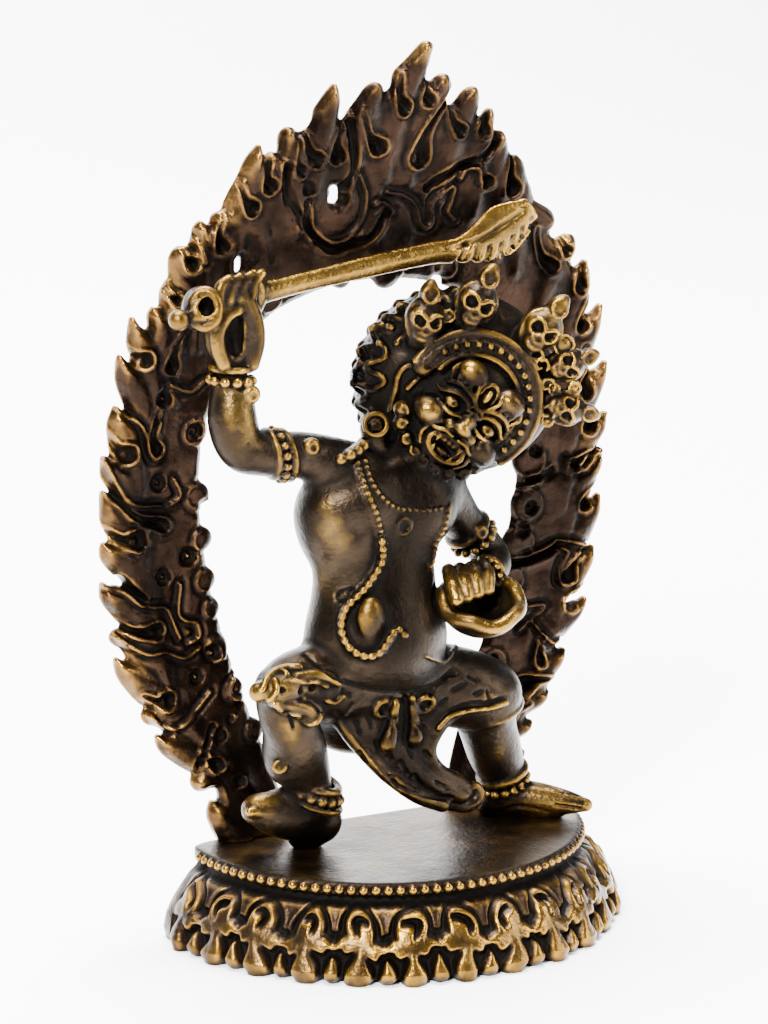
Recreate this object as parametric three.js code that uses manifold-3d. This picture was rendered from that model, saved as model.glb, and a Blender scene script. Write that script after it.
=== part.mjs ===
// A small cast brass statue: a striding wrathful deity with a raised sword and a skull cup,
// in front of a flame aureole, on a D-shaped lotus base.
// Millimetres, +Z up, front towards -Y, right towards +X, origin in the middle of the underside.
import * as THREE from 'three';
import { mergeVertices } from 'three/addons/utils/BufferGeometryUtils.js';
import Module from 'manifold-3d';

const wasm = await Module();
wasm.setup();

// Driving dimensions of the base: a half ellipse in front of a nearly straight back.
const BASE_HEIGHT = 9.65;
const BASE_HALF_WIDTH = 22.0;
const BASE_FRONT_DEPTH = 21.9;
const BASE_BACK_DEPTH = 2.75;
const BASE_CENTRE_Y = 11.0;
const BASE_BACK_SQUARENESS = 4.3;
const BASE_BACK_FLARE = 0.35;
const PETALS = 14;
const STEPS_PER_PETAL = 4;
const BACK_STEPS = 10;
const RIM_BEADS = 54;
const RIM_BEAD_OUT = 0.45;
const RIM_GAP_OUT = -0.35;
const RIM_LOW_Z = 8.4;
const RIM_MIDDLE_Z = 8.95;
const RELIEF_TOP_Z = 7.2;
const NECK_TOP_Z = RIM_LOW_Z + 0.3;

// Driving dimensions of the aureole: a bent plate with tongues of flame along its outer edge.
const PLATE_FRONT = 1.0;
const PLATE_BACK = 1.0;
const PLATE_STEPS = 18;
const AUREOLE_X = -0.7;
const AUREOLE_FOOT_Y = 12.7;
const AUREOLE_LEAN = 0.146;
const AUREOLE_BEND = 0.00294;
const FLAME_PITCH = 9.45;
const FLAME_FIRST = 5.6;
const FLAME_SPLIT = 3.4;
const BIG_FLAME = { length: 9.6, width: 2.9, front: 1.9 };
const SMALL_FLAME = { length: 6.4, width: 2.1, front: 1.7 };
const INNER_FLAME = { length: 7.0, width: 1.8, front: 1.9 };
const FLAME_TURN = 45;
const NOTCH_DEPTH = 2.7;
const INNER_FLAMES_FROM = 40;
const SCROLL_PITCH = 8.2;
const SCROLL_RADIUS = 2.1;
const SCROLL_INSET = 1.9;

// Half outlines of the aureole as width and height above the base, foot to top.
const OUTER_EDGE = [
  [16.2, 0], [19.6, 5.2], [24.6, 12.2], [28.4, 20.5], [30, 30], [30.3, 40],
  [29.2, 50], [26.2, 58.2], [21.0, 65.4], [15.8, 71.0], [10.6, 76.6], [5, 80.6], [0, 82.4],
];
const INNER_EDGE = [
  [9.6, 0], [10.4, 4.6], [12.4, 10.5], [14.9, 17.5], [17.1, 25], [18.5, 32], [19.1, 39],
  [18.4, 45.7], [16.2, 51.4], [11.8, 56.2], [6, 58.6], [0, 59.3],
];

// Driving dimensions of the head, which turns to the sword and leans to the other shoulder.
const HEAD = { x: 5.5, y: 2.7, z: 56.2, turn: -17, lean: 27 };
const CROWN_RADIUS = 8.2;
const CROWN_LEAVES = [
  { angle: -62, tip: 13.6 }, { angle: -28, tip: 14.6 }, { angle: 6, tip: 17.2 },
  { angle: 34, tip: 15.2 }, { angle: 62, tip: 13.4 },
];

// Limbs as stations of x, y, z, half width and half depth.
const TORSO = [
  [-4.2, 4.9, 26.6, 7.2, 4.6], [-4.3, 4.0, 31.6, 7.5, 5.8], [-4.2, 4.3, 36.6, 6.9, 5.3],
  [-3.9, 4.7, 41.5, 6.6, 4.8], [-3.4, 4.9, 46.0, 8.4, 4.6], [-1.6, 5.0, 49.4, 7.4, 4.0],
  [1.2, 4.6, 52.0, 4.2, 3.6],
];
const SWORD_ARM = [
  [-7.0, 4.9, 50.2, 3.1], [-11.6, 4.8, 52.1, 2.5], [-16.2, 4.8, 52.8, 2.25], [-18.7, 4.9, 53.4, 2.35],
  [-19.6, 5.0, 55.6, 2.2], [-19.6, 5.2, 58.6, 2.0], [-19.8, 5.4, 61.6, 1.6], [-19.7, 5.4, 64.4, 1.9],
];
const CUP_ARM = [
  [3.8, 5.4, 47.2, 3.0], [7.0, 6.2, 43.4, 2.35], [10.6, 6.6, 39.4, 2.1], [10.4, 4.9, 38.3, 1.9],
  [8.6, 2.6, 38.0, 1.65], [6.6, 0.9, 38.4, 1.5],
];
const BENT_LEG = [
  [-6.6, 4.8, 27.0, 4.6, 4.2], [-11.2, 3.5, 28.2, 4.0, 4.0], [-15.6, 2.2, 28.5, 3.1, 3.2],
  [-15.4, 1.9, 26.0, 3.1, 3.0], [-13.9, 2.3, 22.4, 3.0, 3.0], [-12.2, 3.5, 18.6, 2.4, 2.4],
  [-11.3, 4.3, 15.2, 2.0, 2.2],
];
const STRETCHED_LEG = [
  [1.2, 5.2, 26.2, 4.6, 4.2], [6.0, 5.1, 24.9, 4.2, 3.9], [9.0, 4.9, 23.2, 3.6, 3.5],
  [10.0, 5.3, 20.4, 3.2, 3.1], [11.4, 6.1, 17.0, 3.0, 2.9], [12.9, 6.7, 13.8, 2.3, 2.3],
  [13.2, 6.7, 12.2, 2.0, 2.0],
];
const RAISED_FOOT = [
  [-9.6, 5.0, 12.6, 1.9, 2.2], [-12.4, 5.0, 13.6, 2.3, 2.1], [-15.4, 5.1, 14.6, 2.3, 1.7],
  [-18.0, 5.3, 15.2, 1.9, 1.2],
];
const POINTED_FOOT = [
  [12.2, 7.2, 11.6, 1.8, 1.7], [15.0, 5.3, 11.8, 2.1, 1.8], [18.0, 3.3, 11.5, 1.9, 1.25],
  [20.6, 1.7, 11.2, 1.0, 0.75],
];
const SWORD_HILT = [
  [-27.4, 2.9, 67.5, 0.8], [-26.4, 3.1, 67.7, 1.35], [-25.6, 3.3, 67.8, 0.7], [-24.6, 3.5, 68.0, 1.9],
  [-23.2, 3.8, 68.2, 2.1], [-22.2, 4.1, 68.4, 1.1], [-16.0, 5.4, 69.4, 1.0],
];
const SWORD_BLADE = [
  [-17.6, 5.1, 69.2, 1.5, 0.9], [-15.6, 5.4, 69.5, 1.15, 0.8], [-6.0, 5.6, 70.9, 1.2, 0.8],
  [4.0, 5.7, 72.2, 1.45, 0.8], [7.0, 5.7, 73.2, 2.3, 0.8], [10.4, 5.5, 74.2, 2.8, 0.75],
  [13.0, 5.3, 75.4, 1.9, 0.6], [15.0, 5.1, 76.3, 0.7, 0.4],
];
const SWORD_GUARD = [[-17.0, 5.2, 67.4, 0.7], [-16.8, 5.2, 69.3, 1.1], [-17.2, 5.2, 71.2, 0.7]];

// The flap of the skirt between the legs as left and right edge points, waist to curled tip.
const FLAP_Y = 1.8;
const FLAP_HALF_THICKNESS = 0.75;
const FLAP_FOLD = 0.55;
const FLAP_HEM = 0.2;
const FLAP_ROWS = [
  [-10.4, 27.9, 9.6, 25.0], [-9.6, 25.2, 3.8, 23.6], [-8.1, 22.5, 1.3, 21.2], [-5.6, 19.5, 1.3, 19.3],
  [-3.4, 17.3, 2.9, 17.5], [-0.6, 15.1, 4.9, 16.3], [2.4, 13.7, 6.2, 15.0],
];
const FLAP_TIP = [5.6, FLAP_Y, 13.2];
const FLAP_CURL = [
  [4.4, FLAP_Y, 13.3, 0.7], [6.3, FLAP_Y, 13.4, 0.7], [6.6, FLAP_Y, 14.8, 0.6], [5.4, FLAP_Y, 15.0, 0.5],
];

// Cords of beads on the chest, as stations of x, y, z and radius.
const LONG_GARLAND = [
  [-7.6, 2.0, 52.0, 0.55], [-6.6, 0.9, 48.0, 0.6], [-5.4, 0.2, 43.8, 0.65], [-5.4, -0.6, 41.2, 0.7],
  [-8.3, -0.4, 39.2, 0.7], [-10.8, 0.4, 37.3, 0.7], [-11.0, 0.6, 34.9, 0.7], [-9.6, -0.4, 33.0, 0.7],
  [-7.7, -1.3, 32.2, 0.7], [-6.0, -1.6, 33.3, 0.7], [-4.8, -1.6, 35.0, 0.6],
];
const SHORT_STRAND = [
  [2.8, 2.2, 47.0, 0.8], [1.9, 1.2, 44.6, 0.8], [0.9, 0.8, 42.4, 0.8], [-0.2, 0.5, 40.6, 0.7],
];
const COLLAR_STRAND = [
  [-6.2, 2.6, 52.4, 0.45], [-5.6, 0.8, 48.6, 0.45], [-3.5, 0.1, 46.9, 0.45], [-0.6, 0.1, 46.5, 0.45],
  [2.2, 1.1, 47.0, 0.45],
];

// The block that trims everything of the figure below the top of the base.
const FLOOR_WIDTH = 80;
const FLOOR_DEPTH = 40;

const WELD = 1e-4;
const HALF_TURN = Math.PI;
const FULL_TURN = 2 * Math.PI;
const FRONT = new THREE.Vector3(0, -1, 0);
const UP = new THREE.Vector3(0, 0, 1);

function radians(degrees) {
  return (degrees * HALF_TURN) / 180;
}

function vector(list) {
  return new THREE.Vector3(list[0], list[1], list[2]);
}

// Closed solids and joins

function signedVolume(points, faces) {
  let sum = 0;
  for (let i = 0; i < faces.length; i += 3) {
    const [a, b, c] = [points[faces[i]], points[faces[i + 1]], points[faces[i + 2]]];
    sum += a.dot(new THREE.Vector3().crossVectors(b, c));
  }
  return sum;
}

function closedGeometry(points, faces) {
  const inward = signedVolume(points, faces) < 0;
  const geometry = new THREE.BufferGeometry();
  const numbers = points.flatMap((point) => point.toArray());
  geometry.setAttribute('position', new THREE.Float32BufferAttribute(numbers, 3));
  geometry.setIndex(inward ? faces.slice().reverse() : faces);
  return geometry;
}

function solidOf(geometry) {
  const bare = geometry.clone();
  bare.deleteAttribute('normal');
  bare.deleteAttribute('uv');
  const merged = mergeVertices(bare, WELD);
  const mesh = new wasm.Mesh({
    numProp: 3,
    vertProperties: Float32Array.from(merged.attributes.position.array),
    triVerts: Uint32Array.from(merged.index.array),
  });
  return new wasm.Manifold(mesh);
}

function fuse(geometries) {
  return geometries.map(solidOf).reduce((whole, piece) => whole.add(piece));
}

function geometryOf(solid) {
  const mesh = solid.getMesh();
  const geometry = new THREE.BufferGeometry();
  geometry.setAttribute('position', new THREE.BufferAttribute(Float32Array.from(mesh.vertProperties), 3));
  geometry.setIndex(new THREE.BufferAttribute(Uint32Array.from(mesh.triVerts), 1));
  geometry.computeVertexNormals();
  return geometry;
}

function middleOf(points) {
  return points.reduce((sum, point) => sum.add(point), new THREE.Vector3()).divideScalar(points.length);
}

// Rings of equal length between two poles become one closed skin.
function loft(rings, startPole, endPole) {
  const sides = rings[0].length;
  const points = [startPole, ...rings.flat(), endPole];
  const last = points.length - 1;
  const at = (ring, side) => 1 + ring * sides + (side % sides);
  const faces = [];
  for (let side = 0; side < sides; side += 1) {
    faces.push(0, at(0, side + 1), at(0, side));
    for (let ring = 0; ring + 1 < rings.length; ring += 1) {
      faces.push(at(ring, side), at(ring, side + 1), at(ring + 1, side + 1));
      faces.push(at(ring, side), at(ring + 1, side + 1), at(ring + 1, side));
    }
    faces.push(last, at(rings.length - 1, side), at(rings.length - 1, side + 1));
  }
  return closedGeometry(points, faces);
}

// A round or oval limb through stations of x, y, z, half width and half depth, with domed ends.
function limb(stations, sides = 8, dome = 0.55) {
  const centres = stations.map(vector);
  const last = centres.length - 1;
  const headings = centres.map((centre, i) => (
    centres[Math.min(i + 1, last)].clone().sub(centres[Math.max(i - 1, 0)]).normalize()
  ));
  let across = new THREE.Vector3().crossVectors(FRONT, headings[0]).normalize();
  const rings = centres.map((centre, i) => {
    across = across.clone().addScaledVector(headings[i], -across.dot(headings[i])).normalize();
    const deepWay = new THREE.Vector3().crossVectors(headings[i], across);
    const wide = stations[i][3];
    const deep = stations[i][4] ?? wide;
    return Array.from({ length: sides }, (_, side) => {
      const angle = (side * FULL_TURN) / sides;
      return centre.clone()
        .addScaledVector(across, wide * Math.cos(angle))
        .addScaledVector(deepWay, deep * Math.sin(angle));
    });
  });
  const reach = (i) => dome * Math.min(stations[i][3], stations[i][4] ?? stations[i][3]);
  const startPole = centres[0].clone().addScaledVector(headings[0], -reach(0));
  const endPole = centres[last].clone().addScaledVector(headings[last], reach(last));
  return loft(rings, startPole, endPole);
}

function ball(centre, radii, sides = 8, bands = 5) {
  const geometry = new THREE.SphereGeometry(1, sides, bands);
  geometry.rotateX(HALF_TURN / 2);
  geometry.scale(radii[0], radii[1], radii[2]);
  geometry.translate(centre[0], centre[1], centre[2]);
  return geometry;
}

// An oval ring about an axis, three-sided in section with one edge out.
function hoop(centre, axis, wide, deep, thick, steps = 8) {
  const way = vector(axis).normalize();
  const across = new THREE.Vector3(way.z, 0, -way.x);
  if (across.length() < 0.1) {
    across.set(1, 0, 0);
  }
  across.normalize();
  const deepWay = new THREE.Vector3().crossVectors(way, across);
  const sides = 3;
  const points = [];
  const faces = [];
  for (let step = 0; step < steps; step += 1) {
    const angle = (step * FULL_TURN) / steps;
    for (let side = 0; side < sides; side += 1) {
      const turn = (side * FULL_TURN) / sides;
      const out = thick * Math.cos(turn);
      points.push(vector(centre)
        .addScaledVector(across, (wide + out) * Math.cos(angle))
        .addScaledVector(deepWay, (deep + out) * Math.sin(angle))
        .addScaledVector(way, thick * Math.sin(turn)));
    }
  }
  const at = (step, side) => (step % steps) * sides + (side % sides);
  for (let step = 0; step < steps; step += 1) {
    for (let side = 0; side < sides; side += 1) {
      faces.push(at(step, side), at(step + 1, side), at(step + 1, side + 1));
      faces.push(at(step, side), at(step + 1, side + 1), at(step, side + 1));
    }
  }
  return closedGeometry(points, faces);
}

// Lotus base

// A point of the base's outline, moved out by the given width; angle 0 is the right corner.
function basePoint(angle, out, z) {
  const front = Math.sin(angle) < 0;
  const power = front ? 1 : 2 / BASE_BACK_SQUARENESS;
  const depth = front ? BASE_FRONT_DEPTH + out : BASE_BACK_DEPTH + out * BASE_BACK_FLARE;
  const across = Math.sign(Math.cos(angle)) * Math.abs(Math.cos(angle)) ** power;
  const along = Math.sign(Math.sin(angle)) * Math.abs(Math.sin(angle)) ** power;
  return new THREE.Vector3((BASE_HALF_WIDTH + out) * across, BASE_CENTRE_Y + depth * along, z);
}

function baseMiddle(z) {
  return new THREE.Vector3(0, BASE_CENTRE_Y - BASE_FRONT_DEPTH / 2, z);
}

function swell(distance, width) {
  return Math.exp(-((distance / width) ** 2));
}

// How far the petal relief stands out at a place along one petal and at a height.
function petalRelief(phase, z) {
  const fromMiddle = Math.abs(phase - Math.round(phase));
  const fromSide = Math.abs(fromMiddle - 0.4);
  const drop = 1.1 * swell(fromMiddle, 0.17) * swell(z - 1.4, 2.0);
  const lobe = 0.7 * swell(fromSide, 0.14) * swell(z - 3.0, 1.6);
  const scroll = 0.8 * swell(fromSide, 0.2) * swell(z - 6.1, 1.1);
  return drop + lobe + scroll;
}

// The relief zone and the neck: petals in front, a plain moulding behind.
function petalBody() {
  const profile = [
    [0, 3.0], [1.2, 3.6], [2.8, 3.3], [4.4, 2.5], [6.0, 1.7], [7.4, 0.1], [NECK_TOP_Z, -0.7],
  ];
  const frontSteps = PETALS * STEPS_PER_PETAL;
  const stations = [
    ...Array.from({ length: frontSteps + 1 }, (_, step) => (
      { angle: -HALF_TURN + (step * HALF_TURN) / frontSteps, phase: step / STEPS_PER_PETAL - 0.5 }
    )),
    ...Array.from({ length: BACK_STEPS - 1 }, (_, step) => (
      { angle: ((step + 1) * HALF_TURN) / BACK_STEPS, phase: null }
    )),
  ];
  const relief = (phase, z) => (phase === null || z > RELIEF_TOP_Z ? 0 : petalRelief(phase, z));
  const rings = profile.map(([z, out]) => (
    stations.map(({ angle, phase }) => basePoint(angle, out + relief(phase, z), z))
  ));
  return loft(rings, baseMiddle(0), baseMiddle(NECK_TOP_Z));
}

// The top slab, whose edge in front is a row of beads.
function beadedTop() {
  const profile = [
    [RIM_LOW_Z, -0.1, -0.4], [RIM_MIDDLE_Z, RIM_BEAD_OUT, RIM_GAP_OUT], [BASE_HEIGHT, -0.3, -0.4],
  ];
  const frontSteps = 2 * RIM_BEADS;
  const rings = profile.map(([z, beadOut, gapOut]) => [
    ...Array.from({ length: frontSteps + 1 }, (_, step) => (
      basePoint(-HALF_TURN + (step * HALF_TURN) / frontSteps, step % 2 === 0 ? gapOut : beadOut, z)
    )),
    ...Array.from({ length: BACK_STEPS - 1 }, (_, step) => (
      basePoint(((step + 1) * HALF_TURN) / BACK_STEPS, gapOut, z)
    )),
  ]);
  return loft(rings, baseMiddle(RIM_LOW_Z), baseMiddle(BASE_HEIGHT));
}

function lotusBase() {
  return fuse([petalBody(), beadedTop()]);
}

// Flame aureole

function halfCurve(list) {
  const points = list.map(([x, h]) => new THREE.Vector3(x, h, 0));
  return new THREE.CatmullRomCurve3(points, false, 'catmullrom', 0.5);
}

const outerCurve = halfCurve(OUTER_EDGE);
const innerCurve = halfCurve(INNER_EDGE);

// A place on the bent plate: side is -1 or 1, depth counts towards the front.
function aureolePoint(x, h, depth) {
  const y = AUREOLE_FOOT_Y + AUREOLE_LEAN * h - AUREOLE_BEND * h * h;
  return new THREE.Vector3(AUREOLE_X + x, y - depth, BASE_HEIGHT + h);
}

// The plate runs from the left foot over the top to the right foot, as one band of sections.
function aureolePlate() {
  const sections = [];
  const section = (side, part) => {
    const inner = innerCurve.getPointAt(part);
    const outer = outerCurve.getPointAt(part);
    const width = outer.distanceTo(inner);
    const rim = inner.clone().lerp(outer, 1 - NOTCH_DEPTH / width);
    const middle = inner.clone().lerp(rim, 0.5);
    const place = (point, depth) => aureolePoint(side * point.x, Math.max(point.y, 0), depth);
    return [
      place(inner, PLATE_FRONT * 0.7), place(middle, PLATE_FRONT), place(rim, PLATE_FRONT * 0.7),
      place(rim, -PLATE_BACK), place(middle, -PLATE_BACK), place(inner, -PLATE_BACK),
    ];
  };
  for (let step = 0; step <= PLATE_STEPS; step += 1) {
    sections.push(section(-1, step / PLATE_STEPS));
  }
  for (let step = PLATE_STEPS - 1; step >= 0; step -= 1) {
    sections.push(section(1, step / PLATE_STEPS));
  }
  return loft(sections, middleOf(sections[0]), middleOf(sections[sections.length - 1]));
}

// Which way a tongue points at a part of the outer edge: outward, turned up along the edge.
function flameWay(side, part) {
  const tangent = outerCurve.getTangentAt(THREE.MathUtils.clamp(part, 0, 1));
  const outward = new THREE.Vector2(tangent.y, -tangent.x);
  const way = outward.rotateAround(new THREE.Vector2(), radians(FLAME_TURN));
  return new THREE.Vector2(side * way.x, way.y);
}

// One tongue of flame that ends in a tip, with a raised middle and a slight curl.
function flame(tip, way, size, curl) {
  const normal = new THREE.Vector2(way.y, -way.x);
  const sectionAt = ([part, fat]) => {
    const back = (1 - part) * size.length;
    const sway = curl * size.length * Math.sin(HALF_TURN * part);
    const x = tip.x - way.x * back - normal.x * sway;
    const h = tip.y - way.y * back - normal.y * sway;
    const half = size.width * fat;
    const place = (offset, depth) => (
      aureolePoint(x + normal.x * offset, Math.max(h + normal.y * offset, 0), depth)
    );
    const ridge = size.front * (1 - 0.25 * part);
    return [place(-half, 0.2), place(0, ridge), place(half, 0.2), place(0, -0.9)];
  };
  const rings = [[0, 0.75], [0.55, 1.0]].map(sectionAt);
  return loft(rings, middleOf(rings[0]), aureolePoint(tip.x, tip.y, 0.2));
}

function flamesOfSide(side) {
  const pieces = [];
  const length = outerCurve.getLength();
  const mirrored = (point) => new THREE.Vector2(side * point.x, point.y);
  const add = (point, part, size, curl) => (
    pieces.push(flame(mirrored(point), flameWay(side, part), size, side * curl))
  );
  for (let along = FLAME_FIRST; along < length - FLAME_PITCH / 2; along += FLAME_PITCH) {
    const bigPart = (along + FLAME_SPLIT / 2) / length;
    const smallPart = (along - FLAME_SPLIT / 2) / length;
    const innerPart = (along + FLAME_PITCH / 2) / length;
    add(outerCurve.getPointAt(bigPart), bigPart, BIG_FLAME, 0.14);
    add(outerCurve.getPointAt(smallPart), smallPart, SMALL_FLAME, 0.14);
    if (along > INNER_FLAMES_FROM) {
      const middle = innerCurve.getPointAt(innerPart).lerp(outerCurve.getPointAt(innerPart), 0.62);
      add(middle, innerPart, INNER_FLAME, -0.14);
    }
  }
  return pieces;
}

function scrollsOfSide(side) {
  const pieces = [];
  const length = innerCurve.getLength();
  for (let along = SCROLL_PITCH; along < length; along += SCROLL_PITCH) {
    const point = innerCurve.getPointAt(along / length);
    const outer = outerCurve.getPointAt(along / length);
    const centre = point.lerp(outer, SCROLL_INSET / point.distanceTo(outer));
    const place = aureolePoint(side * centre.x, centre.y, 0);
    pieces.push(ball([place.x, place.y, place.z], [SCROLL_RADIUS, 1.5, SCROLL_RADIUS], 5, 3));
  }
  return pieces;
}

// The tall tongue at the top and the ones beside it: tip, lean to the right and size.
function apexFlames() {
  return [
    [2.9, 84.6, 6, { length: 15, width: 3.0, front: 2.1 }],
    [7.4, 80.2, 10, { length: 11, width: 2.3, front: 1.9 }],
    [-6.8, 80.2, 14, { length: 12, width: 2.3, front: 1.9 }],
    [-1.8, 79.6, 0, { length: 10, width: 2.0, front: 1.9 }],
  ].map(([x, h, lean, size]) => {
    const way = new THREE.Vector2(Math.sin(radians(lean)), Math.cos(radians(lean)));
    return flame(new THREE.Vector2(x, h), way, size, 0.1);
  });
}

function flameAureole() {
  return fuse([
    aureolePlate(),
    ...flamesOfSide(-1), ...flamesOfSide(1),
    ...scrollsOfSide(-1), ...scrollsOfSide(1),
    ...apexFlames(),
  ]);
}

// Figure

// Turns a piece made about the middle of the head, front towards -Y, into its place.
function headMatrix() {
  const turn = radians(HEAD.turn);
  const lean = radians(HEAD.lean);
  const level = new THREE.Vector3(Math.cos(turn), Math.sin(turn), 0);
  const right = level.clone().multiplyScalar(Math.cos(lean)).addScaledVector(UP, -Math.sin(lean));
  const up = UP.clone().multiplyScalar(Math.cos(lean)).addScaledVector(level, Math.sin(lean));
  const back = new THREE.Vector3().crossVectors(up, right);
  return new THREE.Matrix4().makeBasis(right, back, up).setPosition(HEAD.x, HEAD.y, HEAD.z);
}

function face() {
  const both = (x, y, z, radii) => [ball([-x, y, z], radii, 5, 3), ball([x, y, z], radii, 5, 3)];
  return [
    ball([0, 0.6, 0.4], [5.3, 5.0, 6.3], 8, 6),
    ball([0, -1.3, -4.1], [4.1, 3.5, 3.1], 6, 4),
    ...both(2.6, -3.6, -0.7, [1.5, 1.4, 1.3]),
    ...both(2.7, -3.5, 3.0, [2.0, 1.4, 1.1]),
    ball([0, -4.1, 1.9], [0.9, 1.0, 1.2], 5, 3),
    ball([0, -4.6, -1.4], [1.6, 1.6, 1.1], 5, 3),
    hoop([0, -4.2, -4.1], [0, -1, 0.15], 1.9, 1.1, 0.6, 6),
  ];
}

function beard() {
  const curls = 5;
  return Array.from({ length: curls }, (_, i) => {
    const angle = radians(205 + (i * 130) / (curls - 1));
    return ball([4.9 * Math.cos(angle), -1.2, 0.2 + 6.2 * Math.sin(angle)], [1.4, 1.5, 1.5], 5, 3);
  });
}

function hair() {
  const locks = 5;
  const middle = [-2.2, 3.0, 1.2];
  const pieces = [ball(middle, [10.4, 5.2, 10.2], 10, 6)];
  for (let i = 0; i < locks; i += 1) {
    const angle = radians(214 - (i * 200) / (locks - 1));
    const place = [middle[0] + 8.6 * Math.cos(angle), middle[1], middle[2] + 8.6 * Math.sin(angle)];
    pieces.push(ball(place, [2.6, 3.0, 2.6], 5, 3));
  }
  return pieces;
}

function crown() {
  const steps = 10;
  const arc = Array.from({ length: steps + 1 }, (_, i) => {
    const angle = radians(190 - (i * 200) / steps);
    return [CROWN_RADIUS * Math.cos(angle), -1.7, 0.4 + CROWN_RADIUS * Math.sin(angle), 1.0];
  });
  const pieces = [limb(arc, 3)];
  for (const { angle, tip } of CROWN_LEAVES) {
    const turn = radians(angle);
    const along = (radius, y, wide, deep) => (
      [radius * Math.sin(turn), y, 0.4 + radius * Math.cos(turn), wide, deep]
    );
    pieces.push(
      limb([
        along(CROWN_RADIUS - 0.6, -0.9, 1.9, 1.3), along(CROWN_RADIUS + 2.6, -0.6, 2.6, 1.4),
        along(tip - 1.0, -0.2, 1.1, 0.8),
      ], 4),
      ball(along(CROWN_RADIUS + 2.6, -1.9), [1.5, 1.3, 1.6], 5, 3),
    );
  }
  return pieces;
}

function ears() {
  return [-1, 1].flatMap((side) => [
    ball([side * 4.9, 0.4, -1.6], [1.5, 1.5, 3.6], 5, 3),
    ball([side * 5.0, 0.4, -4.7], [1.7, 1.2, 1.7], 6, 3),
  ]);
}

function head() {
  const place = headMatrix();
  const pieces = [...face(), ...beard(), ...hair(), ...crown(), ...ears()];
  return pieces.map((piece) => piece.applyMatrix4(place));
}

function swordAndHand() {
  const fingers = [0, 1, 2, 3].map((i) => (
    ball([-21.8 + i * 1.35, 3.8, 67.4 + i * 0.22], [0.75, 1.2, 1.9], 4, 2)
  ));
  return [
    limb(SWORD_HILT, 5), limb(SWORD_BLADE, 4), limb(SWORD_GUARD, 3),
    ball([-19.7, 5.5, 66.6], [2.3, 2.2, 2.6], 6, 4),
    ...fingers,
  ];
}

function cupAndHand() {
  const bowl = new THREE.LatheGeometry([
    new THREE.Vector2(0, -3.6), new THREE.Vector2(2.1, -3.2), new THREE.Vector2(3.8, -1.7),
    new THREE.Vector2(4.4, 0), new THREE.Vector2(4.1, 0.6), new THREE.Vector2(3.4, 0.1),
    new THREE.Vector2(2.7, -1.4), new THREE.Vector2(0, -2.5),
  ], 9);
  bowl.rotateX(HALF_TURN / 2);
  bowl.rotateX(radians(24));
  bowl.rotateY(radians(-6));
  bowl.translate(5.6, -1.0, 35.3);
  const fingers = [0, 1, 2, 3].map((i) => (
    limb([[6.9 - i * 1.2, 1.0, 38.8, 0.7], [6.2 - i * 1.25, -1.4, 38.3 - i * 0.2, 0.65],
      [5.8 - i * 1.1, -2.4, 36.9 - i * 0.2, 0.5]], 4)
  ));
  return [
    bowl, ...fingers,
    ball([5.6, 0.2, 37.6], [2.5, 1.9, 1.6], 6, 3),
    limb([[8.6, 2.2, 36.8, 1.0], [8.0, 1.4, 34.6, 0.8]], 4),
  ];
}

function torso() {
  return [
    limb(TORSO, 10, 0.4),
    ball([-8.0, 0.3, 36.2], [1.9, 1.8, 2.7], 6, 4),
    hoop([-3.5, 0.3, 44.8], [0.1, -1, 0.05], 1.1, 1.1, 0.45, 6),
    limb(LONG_GARLAND, 3), limb(SHORT_STRAND, 3), limb(COLLAR_STRAND, 3),
  ];
}

function legs() {
  return [
    limb(BENT_LEG, 8), limb(STRETCHED_LEG, 8), limb(RAISED_FOOT, 7), limb(POINTED_FOOT, 7),
    ball([-11.4, 6.4, 11.0], [2.7, 2.3, 2.2], 7, 4),
    limb([[11.6, 7.8, 10.4, 1.2], [14.6, 5.8, 10.3, 1.4], [17.4, 3.8, 10.3, 1.2]], 5),
  ];
}

// Armlets, bracelets and anklets, and the rosettes on arm and shin.
function jewellery() {
  return [
    hoop([-15.3, 4.8, 52.7], [1, 0, 0.12], 2.3, 2.3, 1.2),
    hoop([-19.8, 5.3, 60.8], [0, 0, 1], 1.7, 1.7, 1.1),
    hoop([8.4, 6.4, 41.8], [0.62, 0.1, -0.78], 2.3, 2.3, 0.8),
    hoop([7.4, 1.6, 38.2], [0.75, 0.65, -0.1], 1.6, 1.6, 0.8, 7),
    hoop([-11.7, 4.0, 17.3], [0.28, 0.16, -0.94], 2.5, 2.5, 1.2),
    hoop([12.7, 6.6, 13.9], [-0.34, -0.12, 0.93], 2.4, 2.4, 1.1),
    ball([-12.2, 2.6, 53.4], [1.1, 0.8, 1.1], 5, 3),
    ball([8.5, 4.2, 41.6], [1.2, 1.0, 1.2], 5, 3),
    ball([-15.2, 0.2, 20.8], [1.2, 1.0, 1.2], 5, 3),
  ];
}

function flap() {
  const folds = 4;
  const parts = Array.from({ length: folds + 1 }, (_, i) => i / folds);
  const ringOf = ([leftX, leftZ, rightX, rightZ], row) => {
    const place = (part, side) => {
      const hem = part === 0 || part === 1 ? FLAP_HEM : 0;
      return new THREE.Vector3(
        THREE.MathUtils.lerp(leftX, rightX, part),
        FLAP_Y + FLAP_FOLD * Math.cos(part * folds * HALF_TURN + row) + side * (FLAP_HALF_THICKNESS + hem),
        THREE.MathUtils.lerp(leftZ, rightZ, part),
      );
    };
    return [
      ...parts.map((part) => place(part, -1)),
      ...parts.map((part) => place(1 - part, 1)),
    ];
  };
  const top = new THREE.Vector3(-0.4, FLAP_Y, 27.2);
  return loft(FLAP_ROWS.map(ringOf), top, vector(FLAP_TIP));
}

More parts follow.
